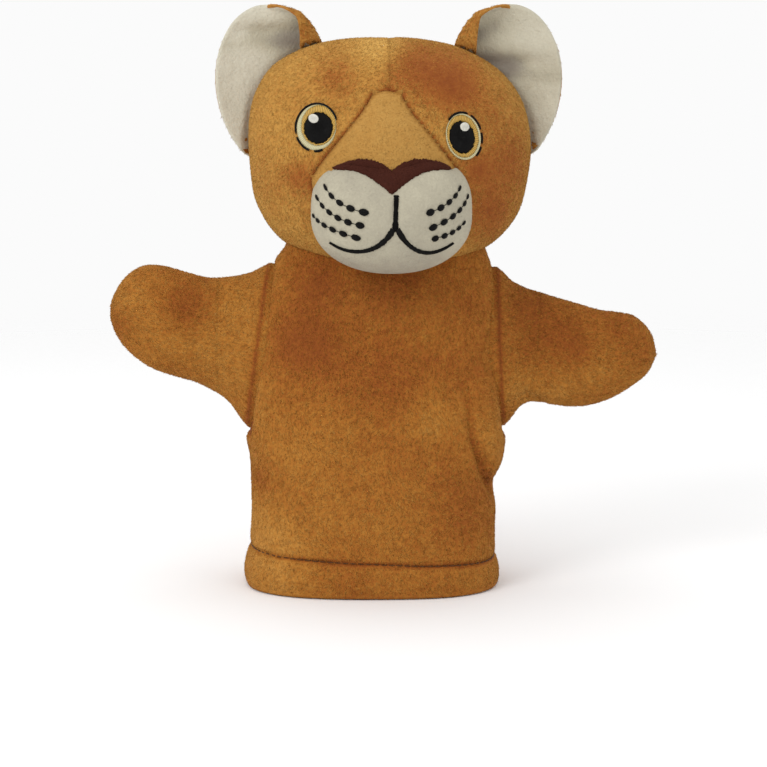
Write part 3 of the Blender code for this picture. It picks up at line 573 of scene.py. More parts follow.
armShapes = {
    "left": {"pivot": (-45.4, 95.5), "lift": 14.0, "side": -1, "bow": -0.6,
             "fold": ([(-66.0, 122.0), (-60.0, 116.5), (-53.0, 111.0)], 1.5, 1.8, 0.6),
             "top": [(4.0, 33.0), (8.5, 28.0), (14.5, 24.6), (25.0, 21.2), (34.0, 20.6), (44.0, 20.6),
                     (52.0, 18.8),
                     (57.5, 13.5), (60.5, 6.0), (61.2, 0.5)],
             "low": [(-3.0, -34.5), (3.0, -28.6), (6.0, -26.0), (11.0, -23.4), (20.0, -21.6), (29.0, -21.4),
                     (37.0, -20.2),
                     (45.5, -17.6), (53.5, -13.0), (59.0, -6.5), (61.2, 0.5)],
             "tints": [(-72, 112, 10, -0.22), (-90, 108, 9, 0.08), (-62, 95, 10, 0.06), (-98, 118, 9, 0.1),
                       (-56, 84, 8, 0.06), (-80, 96, 9, 0.12), (-100, 104, 6, -0.16), (-58, 112, 8, 0.1)]},
    "right": {"pivot": (49.6, 95.5), "lift": -3.0, "side": 1, "bow": -1.6,
              "fold": ([(66.0, 72.5), (60.0, 75.0), (55.0, 72.0)], 1.8, 2.0, 0.0),
              "top": [(-2.0, 31.5), (3.0, 26.0), (9.0, 23.2), (18.0, 20.7), (28.0, 18.5), (38.0, 15.8),
                      (46.0, 15.0),
                      (53.5, 13.6), (60.0, 8.0), (63.2, -1.0)],
              "low": [(4.5, -34.0), (7.0, -29.5), (9.5, -25.6), (13.0, -23.2), (21.0, -22.8), (30.0, -23.2),
                      (38.0, -22.2),
                      (46.0, -19.4), (53.0, -15.2), (59.5, -9.2), (63.2, -1.0)],
              "tints": [(70, 100, 12, -0.22), (96, 104, 9, -0.16), (60, 112, 8, -0.2), (84, 84, 10, 0.02),
                        (106, 92, 7, -0.1), (80, 94, 7, -0.14), (58, 78, 7, 0.14), (72, 76, 6, 0.1)]},
}
armSeams = {}


def armFrame(look):  # outward and upward directions of an arm in x, z
    turn = math.radians(look["lift"])
    return (np.array([look["side"] * math.cos(turn), math.sin(turn)]),
            np.array([-look["side"] * math.sin(turn), math.cos(turn)]))


def armEdges(look, count):
    along, up = armFrame(look)
    base = np.array(look["pivot"])
    edges = []
    for word in ("top", "low"):
        flat = splinePoints(look[word], count)
        edges.append(base + flat[:, :1] * along + flat[:, 1:] * up)
    return edges


for word, look in armShapes.items():  # the seam bows a little between its two ends
    top, low = armEdges(look, 10)
    t = np.linspace(0, 1, 9)[:, None]
    bow = np.array([look["side"], 0.0]) * look["bow"] * np.sin(np.pi * t)
    armSeams[word] = top[0] * (1 - t) + low[0] * t + bow


def armPoints(look, turn, share):  # turn round the arm, share 0 at the seam to 1 at the tip
    count = 400
    top, low = armEdges(look, count)
    at = np.clip(share, 0, 1) * (count - 1)
    index = np.arange(count)
    pick = [np.stack([np.interp(at, index, edge[:, k]) for k in range(2)], axis=1) for edge in (top, low)]
    middle = 0.5 * (pick[0] + pick[1])
    half = 0.5 * (pick[0] - pick[1])
    c, s = superRound(turn, 2.1)
    size = np.linalg.norm(half, axis=1)
    deep = size * (0.53 + 0.14 * share)
    along, _ = armFrame(look)
    flat = middle + half * c[:, None] + along * (np.minimum(share, 0) * 60)[:, None]
    bow = look["side"] * look["bow"] * np.abs(s) * np.clip(1 - share * 6, 0, 1)
    return np.stack([flat[:, 0] + bow, deep * s, flat[:, 1]], axis=1)


def makeArm(word, name, first, last, rows):
    look = armShapes[word]
    columns = 96
    arm = makePiece(name, tubeGrid(columns, rows), "bodyPlush")
    turn, row = tubeParts(getPoints(arm))
    t = row / rows
    share = first + (last - first) * t
    if last == 1.0:
        share = first + (last - first) * (1 - (1 - t) ** 1.5)
    points = armPoints(look, turn, share)
    lumps = cloudNoise(points * np.array([1, 1.4, 1]), 0.06, 5)
    size = np.clip((1 - share) * 8, 0, 1)
    y = points[:, 1]
    outX, outY, outZ = np.zeros(len(y)), np.sin(turn), np.cos(turn)
    along, up = armFrame(look)
    push = 0.8 * lumps * size - 0.7 * bump(y, 1.3) * size
    push -= 0.9 * bump(share / 0.05, 1.0)
    push += 60 * 0.12 * np.minimum(share, 0)
    fold, deep, width, fade = look["fold"]
    gap, part = lineDistance(points[:, [0, 2]], *fold)
    push -= deep * bump(gap, width) * (1 - fade * part) * np.clip(-y / 3, 0, 1)
    points[:, 0] += push * outZ * up[0]
    points[:, 1] += push * outY
    points[:, 2] += push * outZ * up[1]
    setPoints(arm, points * mm)
    normals = np.array([n.vector[:] for n in arm.data.vertex_normals])
    if (normals * np.stack([outZ * up[0], outY, outZ * up[1]], axis=1)).sum() < 0:  # faces look outwards
        arm.data.flip_normals()
    tint = 0.5 + blobTint(points[:, [0, 2]], look["tints"]) * np.where(y < 0, 1.0, 0.5)
    # painted shade: the pile is darkened at the arm root, in the armhole seam's crease
    setTint(arm, tint - 0.4 * bump(share - 0.005, 0.016))
    if last == 1.0:
        bm = bmesh.new()
        bm.from_mesh(arm.data)
        bmesh.ops.remove_doubles(bm, verts=bm.verts, dist=0.00005)
        bm.to_mesh(arm.data)
        bm.free()
    thicken(arm, 1.2)
    return arm


# head

headShape = {"middle": (6.2, 0.0, 175.5), "left": 54.9, "right": 54.9, "above": 40.2, "below": 48.5,
             "halfDepth": 46.0,
             "leftPower": 2.75, "rightPower": 2.2, "lowPower": 2.75, "depthPower": 2.2, "ringPower": 2.2,
             "columns": 240, "rows": 140, "filling": 0.93,
             # tints: soft patches (x, z, reach, amount): the redder patches of the pile, and painted shade darkening
             # the right cheek
             "tints": [(30, 198, 13, -0.42), (14, 205, 10, -0.25), (-14, 199, 8, -0.2), (-28, 163, 6, -0.3),
                       (50, 168, 13, -0.3), (2, 213, 9, 0.3), (-38, 180, 10, 0.06), (46, 188, 9, -0.1),
                       (-36, 150, 9, 0.02), (44, 148, 10, -0.3), (38, 166, 6, -0.25), (-26, 200, 9, 0.06)]}
bridgeShape = {"top": 194.0, "length": 48.0, "topHalf": 5.6, "flare": 28.0, "x": 5.0, "rise": 7.5}
muzzleShape = {"middle": (6.8, -36.0, 148.3), "halfWidth": 30.4, "above": 25.0, "below": 21.8,
               "halfDepth": 24.0,
               "upPower": 3.0, "lowPower": 2.15, "cheek": 1.8, "columns": 128, "rows": 80}


def headHalf(z, way):  # half width to one side at a height, in mm
    rise = z - headShape["middle"][2]
    up = np.clip(np.abs(rise) / np.where(rise > 0, headShape["above"], headShape["below"]), 0, 0.99999)
    power = np.where(rise > 0, np.where(way < 0, headShape["leftPower"], headShape["rightPower"]),
                     headShape["lowPower"])
    return np.where(way < 0, headShape["left"], headShape["right"]) * (1 - up ** power) ** (1 / power)


def headDeep(z):
    rise = z - headShape["middle"][2]
    up = np.clip(np.abs(rise) / np.where(rise > 0, headShape["above"], headShape["below"]), 0, 0.99999)
    return headShape["halfDepth"] * (1 - up ** headShape["depthPower"]) ** (1 / headShape["depthPower"])


def bridgeHalf(z):
    t = np.clip((bridgeShape["top"] - z) / bridgeShape["length"], 0, 1)
    under = 8.0 * np.clip((163 - z) / 10, 0, 1) ** 1.5  # its foot turns in under the muzzle
    return bridgeShape["topHalf"] + bridgeShape["flare"] * np.sin(np.pi / 2 * t) ** 1.3 - under


def bridgeRise(x, z):  # the snout stands out between the eyes
    t = np.clip((bridgeShape["top"] + 4 - z) / 26, 0, 1)
    lift = bridgeShape["rise"] * t * t * (3 - 2 * t)
    across = (x - bridgeShape["x"]) / (0.75 * bridgeHalf(z) + 2)
    return lift * np.exp(-across * across)


def headFront(x, z):  # y of the front of the head, mm
    x, z = np.asarray(x, float), np.asarray(z, float)
    off = x - headShape["middle"][0]
    out = np.clip(np.abs(off) / np.maximum(headHalf(z, off), 0.01), 0, 1)
    power = headShape["ringPower"]
    return -headDeep(z) * (1 - out ** power) ** (1 / power) - bridgeRise(x, z)


def muzzleOut(x, z):  # 0 in the muzzle's middle, 1 at its edge
    across = np.abs(x - muzzleShape["middle"][0]) / muzzleShape["halfWidth"]
    rise = z - muzzleShape["middle"][2]
    up = np.abs(rise) / np.where(rise > 0, muzzleShape["above"], muzzleShape["below"])
    power = np.where(rise > 0, muzzleShape["upPower"], muzzleShape["lowPower"])
    return (across ** power + up ** power) ** (1 / power)


noseShape = {"x": 6.9, "half": 22.0, "bottom": 157.3, "wing": 166.0, "hump": 4.1, "notch": 0.8}


def noseTop(x):  # upper line of the nose
    share = np.clip((x - noseShape["x"]) / noseShape["half"], -1, 1)
    lift = noseShape["hump"] * np.sin(np.pi * np.abs(share)) ** 0.75
    return noseShape["wing"] + lift - noseShape["notch"] * bump(share, 0.06)


def muzzleSwell(x, z):  # two cheeks, and the crease that the mouth stitch pulls in
    mid = muzzleShape["middle"]
    swell = sum(np.exp(-((x - mid[0] - way * 14) / 11) ** 2 - ((z - 152.5) / 9) ** 2) for way in (-1, 1))
    crease = bump(x - 8.3, 1.8) * np.clip((157 - z) / 3, 0, 1) * np.clip((z - 143) / 3, 0, 1)
    far = np.abs(x - noseShape["x"]) / noseShape["half"]
    above = np.clip((z - noseTop(x) + 0.6) / 2.0, 0, 1) * np.clip((1.08 - far) * 12, 0, 1)
    return muzzleShape["cheek"] * swell - 0.9 * crease - 6.0 * above


def muzzleFront(x, z):
    out = muzzleOut(x, z)
    y = muzzleShape["middle"][1] - muzzleShape["halfDepth"] * np.sqrt(np.clip(1 - out * out, 0,
                                                                              1)) - muzzleSwell(x, z)
    return np.where(out < 1, y, 0.0)


def faceFront(x, z):
    return np.minimum(headFront(x, z), muzzleFront(np.asarray(x, float), np.asarray(z, float)))


def facePoint(x, z, lift):  # point above the face along its normal, mm
    step = 0.6
    slopeX = (faceFront(x + step, z) - faceFront(x - step, z)) / (2 * step)
    slopeZ = (faceFront(x, z + step) - faceFront(x, z - step)) / (2 * step)
    normal = np.stack([slopeX, -np.ones_like(slopeX), slopeZ], axis=-1)
    normal = unitRows(normal)
    return np.stack([x, faceFront(x, z), z], axis=-1) + normal * np.asarray(lift)[..., None], normal


bridgeHeights = np.linspace(bridgeShape["top"], 141.0, 40)
bridgeEdge = np.vstack([np.stack([bridgeShape["x"] - bridgeHalf(bridgeHeights[::-1]), bridgeHeights[::-1]],
                                 axis=1),
                        [(bridgeShape["x"], bridgeShape["top"] + 1.6)],
                        np.stack([bridgeShape["x"] + bridgeHalf(bridgeHeights), bridgeHeights], axis=1)])


def headSpot(points):  # which panel each point of the head is on
    x, y, z = points.T
    between = (np.abs(x - bridgeShape["x"]) < bridgeHalf(z)) & (y < -8)
    inBridge = between & (z < bridgeShape["top"] + 1) & (z > 141)
    left = x < headShape["middle"][0]
    spot = np.where(y > 3, np.where(left, 3, 4), np.where(left, 1, 2))
    return np.where(inBridge & (y <= 3), 0, spot)


def headForm(name, columns, rows, material):  # plain head of round sections
    look = headShape
    thing = makePiece(name, ballGrid(columns, rows), material)
    unit = getPoints(thing)
    turn = np.arctan2(unit[:, 1], unit[:, 0])
    rise = np.clip(unit[:, 2], -1, 1)
    z = look["middle"][2] + rise * np.where(rise > 0, look["above"], look["below"]) * 0.9999
    c, s = superRound(turn, look["ringPower"])
    x = look["middle"][0] + headHalf(z, c) * c
    y = headDeep(z) * s
    ends = np.abs(rise) > 0.99999
    x[ends], y[ends] = look["middle"][0], 0.0
    return thing, x, y, z


def makeStuffing():  # the filling, a little inside the skin
    filling, x, y, z = headForm("headFilling", 56, 32, "fibreFill")
    middle = np.array(headShape["middle"])
    setPoints(filling, (middle + (np.stack([x, y, z], axis=1) - middle) * headShape["filling"]) * mm)
    return filling


def snapToLine(x, z, front):  # points near the bridge's seam move onto it
    gap, _, spots = nearestOnLine(np.stack([x, z], axis=1), bridgeEdge)
    moved = front & (gap < 0.75)
    return np.where(moved, spots[:, 0], x), np.where(moved, spots[:, 1], z)


def makeHead():
    look = headShape
    head, x, y, z = headForm("head", look["columns"], look["rows"], "headPlush")
    front = np.clip(-y / 14, 0, 1)
    x, z = snapToLine(x, z, y < -8)
    y = np.where(y < -8, -headDeep(z) * (1 - np.clip(np.abs(x - look["middle"][0])
                 / np.maximum(headHalf(z, x - look["middle"][0]), 0.01), 0, 1) ** 2.2) ** (1 / 2.2), y)
    y = np.where(np.abs(y - 3) < 0.8, 3.0, y)
    y = y - bridgeRise(x, z) * front
    points = np.stack([x, y, z], axis=1)
    out = unitRows(points - np.array(look["middle"]))
    push = 0.45 * cloudNoise(points, 0.07, 1)
    flat = points[:, [0, 2]]
    gap, _ = lineDistance(flat, *bridgeEdge)
    push -= 0.9 * bump(gap, 1.1) * (y < -8)
    middleSeam = (z > bridgeShape["top"]) | (y > 3) | (z < 141)
    push -= 0.6 * bump(x - look["middle"][0], 1.1) * middleSeam * np.where(y > 3, 1, 0.4)
    push -= 1.0 * bump(y - 3, 1.3)
    points += out * push[:, None]
    setPoints(head, points * mm)
    tint = 0.5 + blobTint(points[:, [0, 2]], look["tints"]) * np.where(points[:, 1] < 3, 1.0, 0.5)
    # painted shade: the pile is darker along the bridge seams, the middle seam and the side seams, where the grooves
    # fall in shade
    tint = np.where(headSpot(points) == 0, 0.5, tint) - 0.35 * bump(gap, 0.7) * (points[:, 1] < -8)
    tint = tint - 0.2 * bump(x - look["middle"][0], 0.8) * middleSeam * np.where(y > 3, 1, 0.3)
    tint = tint - 0.3 * bump(y - 3, 0.8)
    setTint(head, tint)
    return head


def splitHead(head):  # one piece for each panel, cut along the seams
    panels = []
    names = [("bridgePanel", "bridgePlush"), ("faceLeft", "headPlush"), ("faceRight", "headPlush"),
             ("crownLeft", "headPlush"), ("crownRight", "headPlush")]
    for index, (name, material) in enumerate(names):
        bm = bmesh.new()
        bm.from_mesh(head.data)
        bm.verts.ensure_lookup_table()
        middles = np.array([f.calc_center_median() for f in bm.faces]) / mm
        inPanel = headSpot(middles) == index
        gone = [f for f, keep in zip(bm.faces, inPanel) if not keep]
        bmesh.ops.delete(bm, geom=gone, context="FACES")
        panels.append(makePiece(name, bm, material))
        thicken(panels[-1], 1.2)
    bpy.data.objects.remove(head, do_unlink=True)
    return panels


def makeMuzzle():
    look = muzzleShape
    bm = ballGrid(look["columns"], look["rows"])
    bmesh.ops.rotate(bm, verts=bm.verts, matrix=Matrix.Rotation(math.radians(-90), 3, "X"))
    muzzle = makePiece("muzzleSkin", bm, "creamPlush")
    unit = getPoints(muzzle)
    flat = np.hypot(unit[:, 0], unit[:, 2])
    turn = np.arctan2(unit[:, 2], unit[:, 0])
    power = np.where(unit[:, 2] > 0, look["upPower"], look["lowPower"])
    reach = (np.abs(np.cos(turn) / look["halfWidth"]) ** power
             + np.abs(np.sin(turn) / np.where(unit[:, 2] > 0, look["above"],
                                              look["below"])) ** power) ** (-1 / power)
    x = look["middle"][0] + reach * flat * np.cos(turn)
    z = look["middle"][2] + reach * flat * np.sin(turn)
    y = look["middle"][1] + np.where(unit[:, 1] < 0, look["halfDepth"], 10.0) * unit[:, 1]
    front = np.clip(-unit[:, 1] * 3, 0, 1)
    y = y - muzzleSwell(x, z) * front
    points = np.stack([x, y, z], axis=1)
    points[:, 1] -= 0.25 * cloudNoise(points, 0.12, 3) * front
    setPoints(muzzle, points * mm)
    # painted shade: the cream pile darkens towards the underside of the chin
    setTint(muzzle, 0.42 + 0.05 * cloudNoise(points, 0.08, 4) - 0.16 * np.clip((136 - z) / 8, 0, 1))
    return muzzle



# sewn face details


def patch(name, material, place, columns, rows, lift, crown, roundWay=False, uv=(1.0, 1.0), tint=None,
          ragged=0.0):
    # padded patch; place(u, v) gives x and z in mm
    bm = bmesh.new()
    layer = bm.loops.layers.uv.new("stitch")
    around = columns if roundWay else columns + 1
    u, v = np.meshgrid(np.arange(around) / columns, np.arange(rows + 1) / rows, indexing="ij")
    x, z = place(u, v)
    way, height = crown  # v: highest half way across; r: highest in the middle
    edge = 1 - v ** 2 if way == "r" else np.sin(np.pi * np.clip(v, 0, 1))
    if way == "ends":  # lower at both ends too
        edge = edge * np.clip(np.sin(np.pi * u) * 4, 0, 1)
    rise = lift + height * np.sqrt(np.clip(edge, 0, 1))
    top, _ = facePoint(x, z, rise)
    low, _ = facePoint(x, z, np.full_like(rise, -0.4))
    if ragged:
        wobble = np.array([noise.noise(Vector((a * 3.1, b * 3.1, 1.7))) for a, b in zip(x.ravel(),
                                                                                        z.ravel())])
        wobble = wobble.reshape(x.shape) * ragged * (edge < 0.2)
        top[..., 2] += wobble
        low[..., 2] += wobble
    layers = [[[bm.verts.new(Vector(p) * mm) for p in line] for line in side] for side in (top, low)]

    def addFace(corners, uvs):
        for loop, pair in zip(bm.faces.new(corners).loops, uvs):
            loop[layer].uv = (pair[0] * uv[0], pair[1] * uv[1])
    for i in range(columns):
        j = (i + 1) % around
        for k in range(rows):
            pairs = [(i / columns, k / rows), ((i + 1) / columns, k / rows),
                     ((i + 1) / columns, (k + 1) / rows), (i / columns, (k + 1) / rows)]
            addFace((layers[0][i][k], layers[0][j][k], layers[0][j][k + 1], layers[0][i][k + 1]), pairs)
            addFace((layers[1][i][k], layers[1][i][k + 1], layers[1][j][k + 1], layers[1][j][k]),
                    pairs[::-1])
        for k in (0, rows):
            pairs = [(i / columns, k / rows)] * 2 + [((i + 1) / columns, k / rows)] * 2
            addFace((layers[0][i][k], layers[1][i][k], layers[1][j][k], layers[0][j][k]), pairs)
    if not roundWay:
        for i in (0, around - 1):
            for k in range(rows):
                addFace((layers[0][i][k], layers[0][i][k + 1], layers[1][i][k + 1], layers[1][i][k]),
                        [(0, 0)] * 4)
    bmesh.ops.remove_doubles(bm, verts=bm.verts, dist=1e-6)
    bmesh.ops.recalc_face_normals(bm, faces=bm.faces)
    thing = makePiece(name, bm, material)
    if tint is not None:
        setTint(thing, np.full(len(thing.data.vertices), tint))
    return thing


def ovalPlace(middle, half, lean, inner=None, rough=0.0):
    # v runs from the inner oval, or the middle, to the outer one
    turn = math.radians(-lean)

    def point(centre, sizes, u):
        a = 2 * np.pi * u
        ragged = 1 + rough * (np.sin(11 * a + sizes[0]) + np.sin(23 * a) + 0.7 * np.sin(17 * a + 2))
        x, z = sizes[0] * np.cos(a) * ragged, sizes[1] * np.sin(a) * ragged
        return (centre[0] + x * math.cos(turn) - z * math.sin(turn),
                centre[1] + x * math.sin(turn) + z * math.cos(turn))

    def place(u, v):
        outer = point(middle, half, u)
        start = point(*inner, u) if inner else (np.full_like(u, middle[0]), np.full_like(u, middle[1]))
        return start[0] + (outer[0] - start[0]) * v, start[1] + (outer[1] - start[1]) * v
    return place


eyeShapes = {
    "left": {"iris": (-21.1, 181.4), "half": (7.4, 8.4), "lean": 10, "gold": (-20.2, 182.2),
             "goldHalf": (6.5, 7.4), "pupil": (-20.3, 181.2),
             "pupilHalf": (5.4, 5.8), "light": (-21.9, 184.6), "lightHalf": (1.9, 1.6),
             "outline": [(28, 205), (212, 262), (276, 300)]},
    "right": {"iris": (33.5, 178.0), "half": (6.5, 8.6), "lean": -12, "gold": (33.2, 178.2),
              "goldHalf": (5.9, 7.9), "pupil": (32.9, 177.8),
              "pupilHalf": (4.7, 6.0), "light": (33.7, 181.6), "lightHalf": (1.7, 1.6),
              "outline": [(128, 62), (52, 8), (0, -26), (-34, -62)]},
}


def makeEye(word, look):
    iris, gold, pupil, light = ((look[key], look[size]) for key, size in (
        ("iris", "half"), ("gold", "goldHalf"), ("pupil", "pupilHalf"), ("light", "lightHalf")))
    lean = look["lean"]
    rows = [  # name, thread, place, columns, rows, lift, crown, strands round
        ("Cream", "creamThread", ovalPlace(*iris, lean, gold), 96, 3, 0.3, ("v", 0.35), 70),
        ("Gold", "goldThread", ovalPlace(*gold, lean, pupil, 0.012), 96, 3, 0.35, ("v", 0.4), 58),
        ("Pupil", "blackThread", ovalPlace(*pupil, lean, None, 0.02), 96, 8, 0.45, ("r", 0.55), 90),
        ("Light", "whiteThread", ovalPlace(*light, 20), 28, 4, 1.0, ("r", 0.35), 40)]
    pieces = [patch(word + "Eye" + name, thread, place, columns, count, lift, crown, True, (strands, 1))
              for name, thread, place, columns, count, lift, crown, strands in rows]
    bm = bmesh.new()
    place = ovalPlace(iris[0], (iris[1][0] + 0.4, iris[1][1] + 0.4), lean)
    for start, end in look["outline"]:
        u = np.radians(np.linspace(start, end, 30)) / (2 * np.pi)
        x, z = place(u, np.ones_like(u))
        path, outs = facePoint(x, z, np.full_like(x, 0.45))
        thin = np.clip(np.sin(np.linspace(0.12, np.pi - 0.12, 30)) * 4, 0.3, 1)
        sweep(bm, path * mm, 0.4 * thin * mm, outs, 8, 0.8, 0.7)
    bmesh.ops.recalc_face_normals(bm, faces=bm.faces)
    return [*pieces, makePiece(word + "EyeOutline", bm, "blackThread")]


def makeNose():
    look = noseShape

    def place(u, v):
        share = 2 * u - 1
        far = np.abs(share)
        upper = noseTop(look["x"] + look["half"] * share)
        lower = look["bottom"] + (look["wing"] - look["bottom"]) * (1 - (1 - far) ** 2.0)
        lower = lower + 0.9 * np.sin(np.pi * far) ** 2
        return look["x"] + look["half"] * share, lower + (upper - lower) * v
    return patch("noseVelour", "nosePlush", place, 120, 12, 0.3, ("ends", 0.9), False, (1, 1), 0.55, 0.8)


def bezier(points, t):
    points = [np.array(p, float)[None, :] for p in points]
    t = np.asarray(t)[:, None]
    while len(points) > 1:
        points = [a * (1 - t) + b * t for a, b in zip(points, points[1:])]
    return points[0]


mouthLines = {
    "mouthCentre": {"points": [(8.5, 157.0), (8.3, 151.0), (8.1, 144.6)], "widths": [0.9, 0.85, 0.9, 1.25]},
    "mouthLeft": {"points": [(7.4, 144.8), (2.6, 135.4), (-8.0, 133.8), (-16.0, 139.4)], "widths": [1.15,
                                                                                                    0.85,
                                                                                                    0.7,
                                                                                                    0.45,
                                                                                                    0.2]},
    "mouthRight": {"points": [(8.9, 144.8), (13.6, 135.6), (20.5, 132.8), (29.6, 139.2)], "widths": [1.15,
                                                                                                     0.85,
                                                                                                     0.7,
                                                                                                     0.45,
                                                                                                     0.2]},
}


def makeMouthLine(name, look):
    curve = bezier(look["points"], np.linspace(0, 1, 61))
    way = np.gradient(curve, axis=0)
    way /= np.linalg.norm(way, axis=1)[:, None]
    side = np.stack([-way[:, 1], way[:, 0]], axis=1)
    widths = np.interp(np.linspace(0, 1, 61), np.linspace(0, 1, len(look["widths"])), look["widths"])
    rng = np.random.default_rng(len(name))
    widths = widths * (1 + 0.12 * rng.standard_normal(61))

    def place(u, v):
        i = np.clip((u * 60).round().astype(int), 0, 60)
        off = (v * 2 - 1) * widths[i]
        return curve[i, 0] + side[i, 0] * off, curve[i, 1] + side[i, 1] * off
    return patch(name, "blackThread", place, 60, 4, 0.3, ("v", 0.6), False, (75, 1))


whiskerRows = {
    "whiskerLeftUpper": ((-17.6, 159.6), (-12.2, 154.2), (-3.4, 151.0), 5),
    "whiskerLeftMiddle": ((-20.8, 155.6), (-14.6, 149.6), (-4.8, 146.2), 6),
    "whiskerLeftLower": ((-22.2, 148.8), (-16.6, 145.0), (-6.3, 141.6), 6),
    "whiskerRightUpper": ((31.9, 159.2), (27.9, 154.4), (20.9, 150.9), 5),
    "whiskerRightMiddle": ((35.0, 156.0), (30.7, 150.2), (22.0, 145.4), 6),
    "whiskerRightLower": ((33.6, 146.4), (29.2, 143.2), (22.8, 141.2), 5),
}


def makeWhisker(name, start, middle, end, knots):
    bend = tuple(2 * m - (a + b) / 2 for a, m, b in zip(start, middle, end))
    beatPlace = np.linspace(-0.36, knots - 1 + 0.36, 18 * knots)
    t = beatPlace / (knots - 1)
    line = bezier((start, bend, end), t)
    off = np.abs(beatPlace - np.round(beatPlace))
    beat = np.sqrt(np.clip(1 - (off / 0.34) ** 2, 0, 1))
    size = 0.12 + 1.2 * beat * (0.42 + 0.58 * np.clip(t, 0, 1) ** 0.7)
    path, outs = facePoint(line[:, 0], line[:, 1], 0.15 + 0.2 * beat)
    bm = bmesh.new()
    sweep(bm, path * mm, size * mm, outs, 8, 0.5, 0.5)
    bmesh.ops.recalc_face_normals(bm, faces=bm.faces)
    return makePiece(name, bm, "blackThread")


# ears

earShape = {"x": {"left": 46.4, "right": 45.6}, "z": 198.5, "outer": 21.4, "inner": 18.5, "up": 30.2,
            "down": 33.0,
            "tilt": 4.0, "curlRound": 2.6, "curlTurn": 2.7, "flapTo": 13.5, "cup": 5.0, "bow": 4.0,
            "baseY": 4.5,
            # light: base tint of each lining; the right lining is set darker than the left as painted shade
            "wall": 0.8, "light": {"left": 0.88, "right": 0.66},
            # folds: painted shade in the ear folds (x, z, reach, amount), with a painted lighter spot on the right
            # ear
            "paintedFoldShading": {"left": [(-37, 216, 6, -0.4), (-29, 215, 5, -0.4), (-46, 218, 4, -0.3), (-29, 222, 4,
                                                                                               -0.35)],
                      "right": [(45, 206, 4, -0.4), (51, 205, 4, -0.4), (56, 206, 4, -0.3), (41, 217, 3,
                                                                                             -0.45),
                                (47, 220, 3.5, -0.3), (58, 191, 5, -0.08), (60, 184, 6, 0.1)]}}


def earSection(a, b):  # cross-section of the ear from its unit disc: place and backward normal, mm
    look = earShape
    span = np.sqrt(np.clip(1 - b * b, 1e-6, 1))
    fold = look["inner"] * span  # where the inner edge starts to roll forwards
    roll = look["curlRound"] * np.clip(fold / 9, 0.02, 1) * np.clip((b + 0.55) * 2.5, 0.02, 1)
    flap = np.clip(fold + roll - look["flapTo"], 0, None) * np.clip((b + 0.5) * 3, 0, 1)
    s = np.where(a > 0, a * look["outer"], a / span * (fold + roll * look["curlTurn"] + flap))
    full = (-fold - s) / roll
    bend = np.clip(full, 0, look["curlTurn"])
    past = np.clip(full - look["curlTurn"], 0, None) * roll  # the flap after the fold
    flat = s >= -fold
    x = np.where(flat, s, -fold - roll * np.sin(bend) - past * math.cos(look["curlTurn"]))
    y = np.where(flat, 0.0, -roll + roll * np.cos(bend) - past * math.sin(look["curlTurn"]))
    slope = -look["cup"] * 2 * np.clip(s, 0, None) / look["outer"] ** 2
    y = y - look["cup"] * (np.clip(s, 0, None) / look["outer"]) ** 2
    nx = np.where(flat, -slope, -np.sin(bend))
    ny = np.where(flat, 1.0, np.cos(bend))
    size = np.hypot(nx, ny)
    return s, x, y, nx / size, ny / size


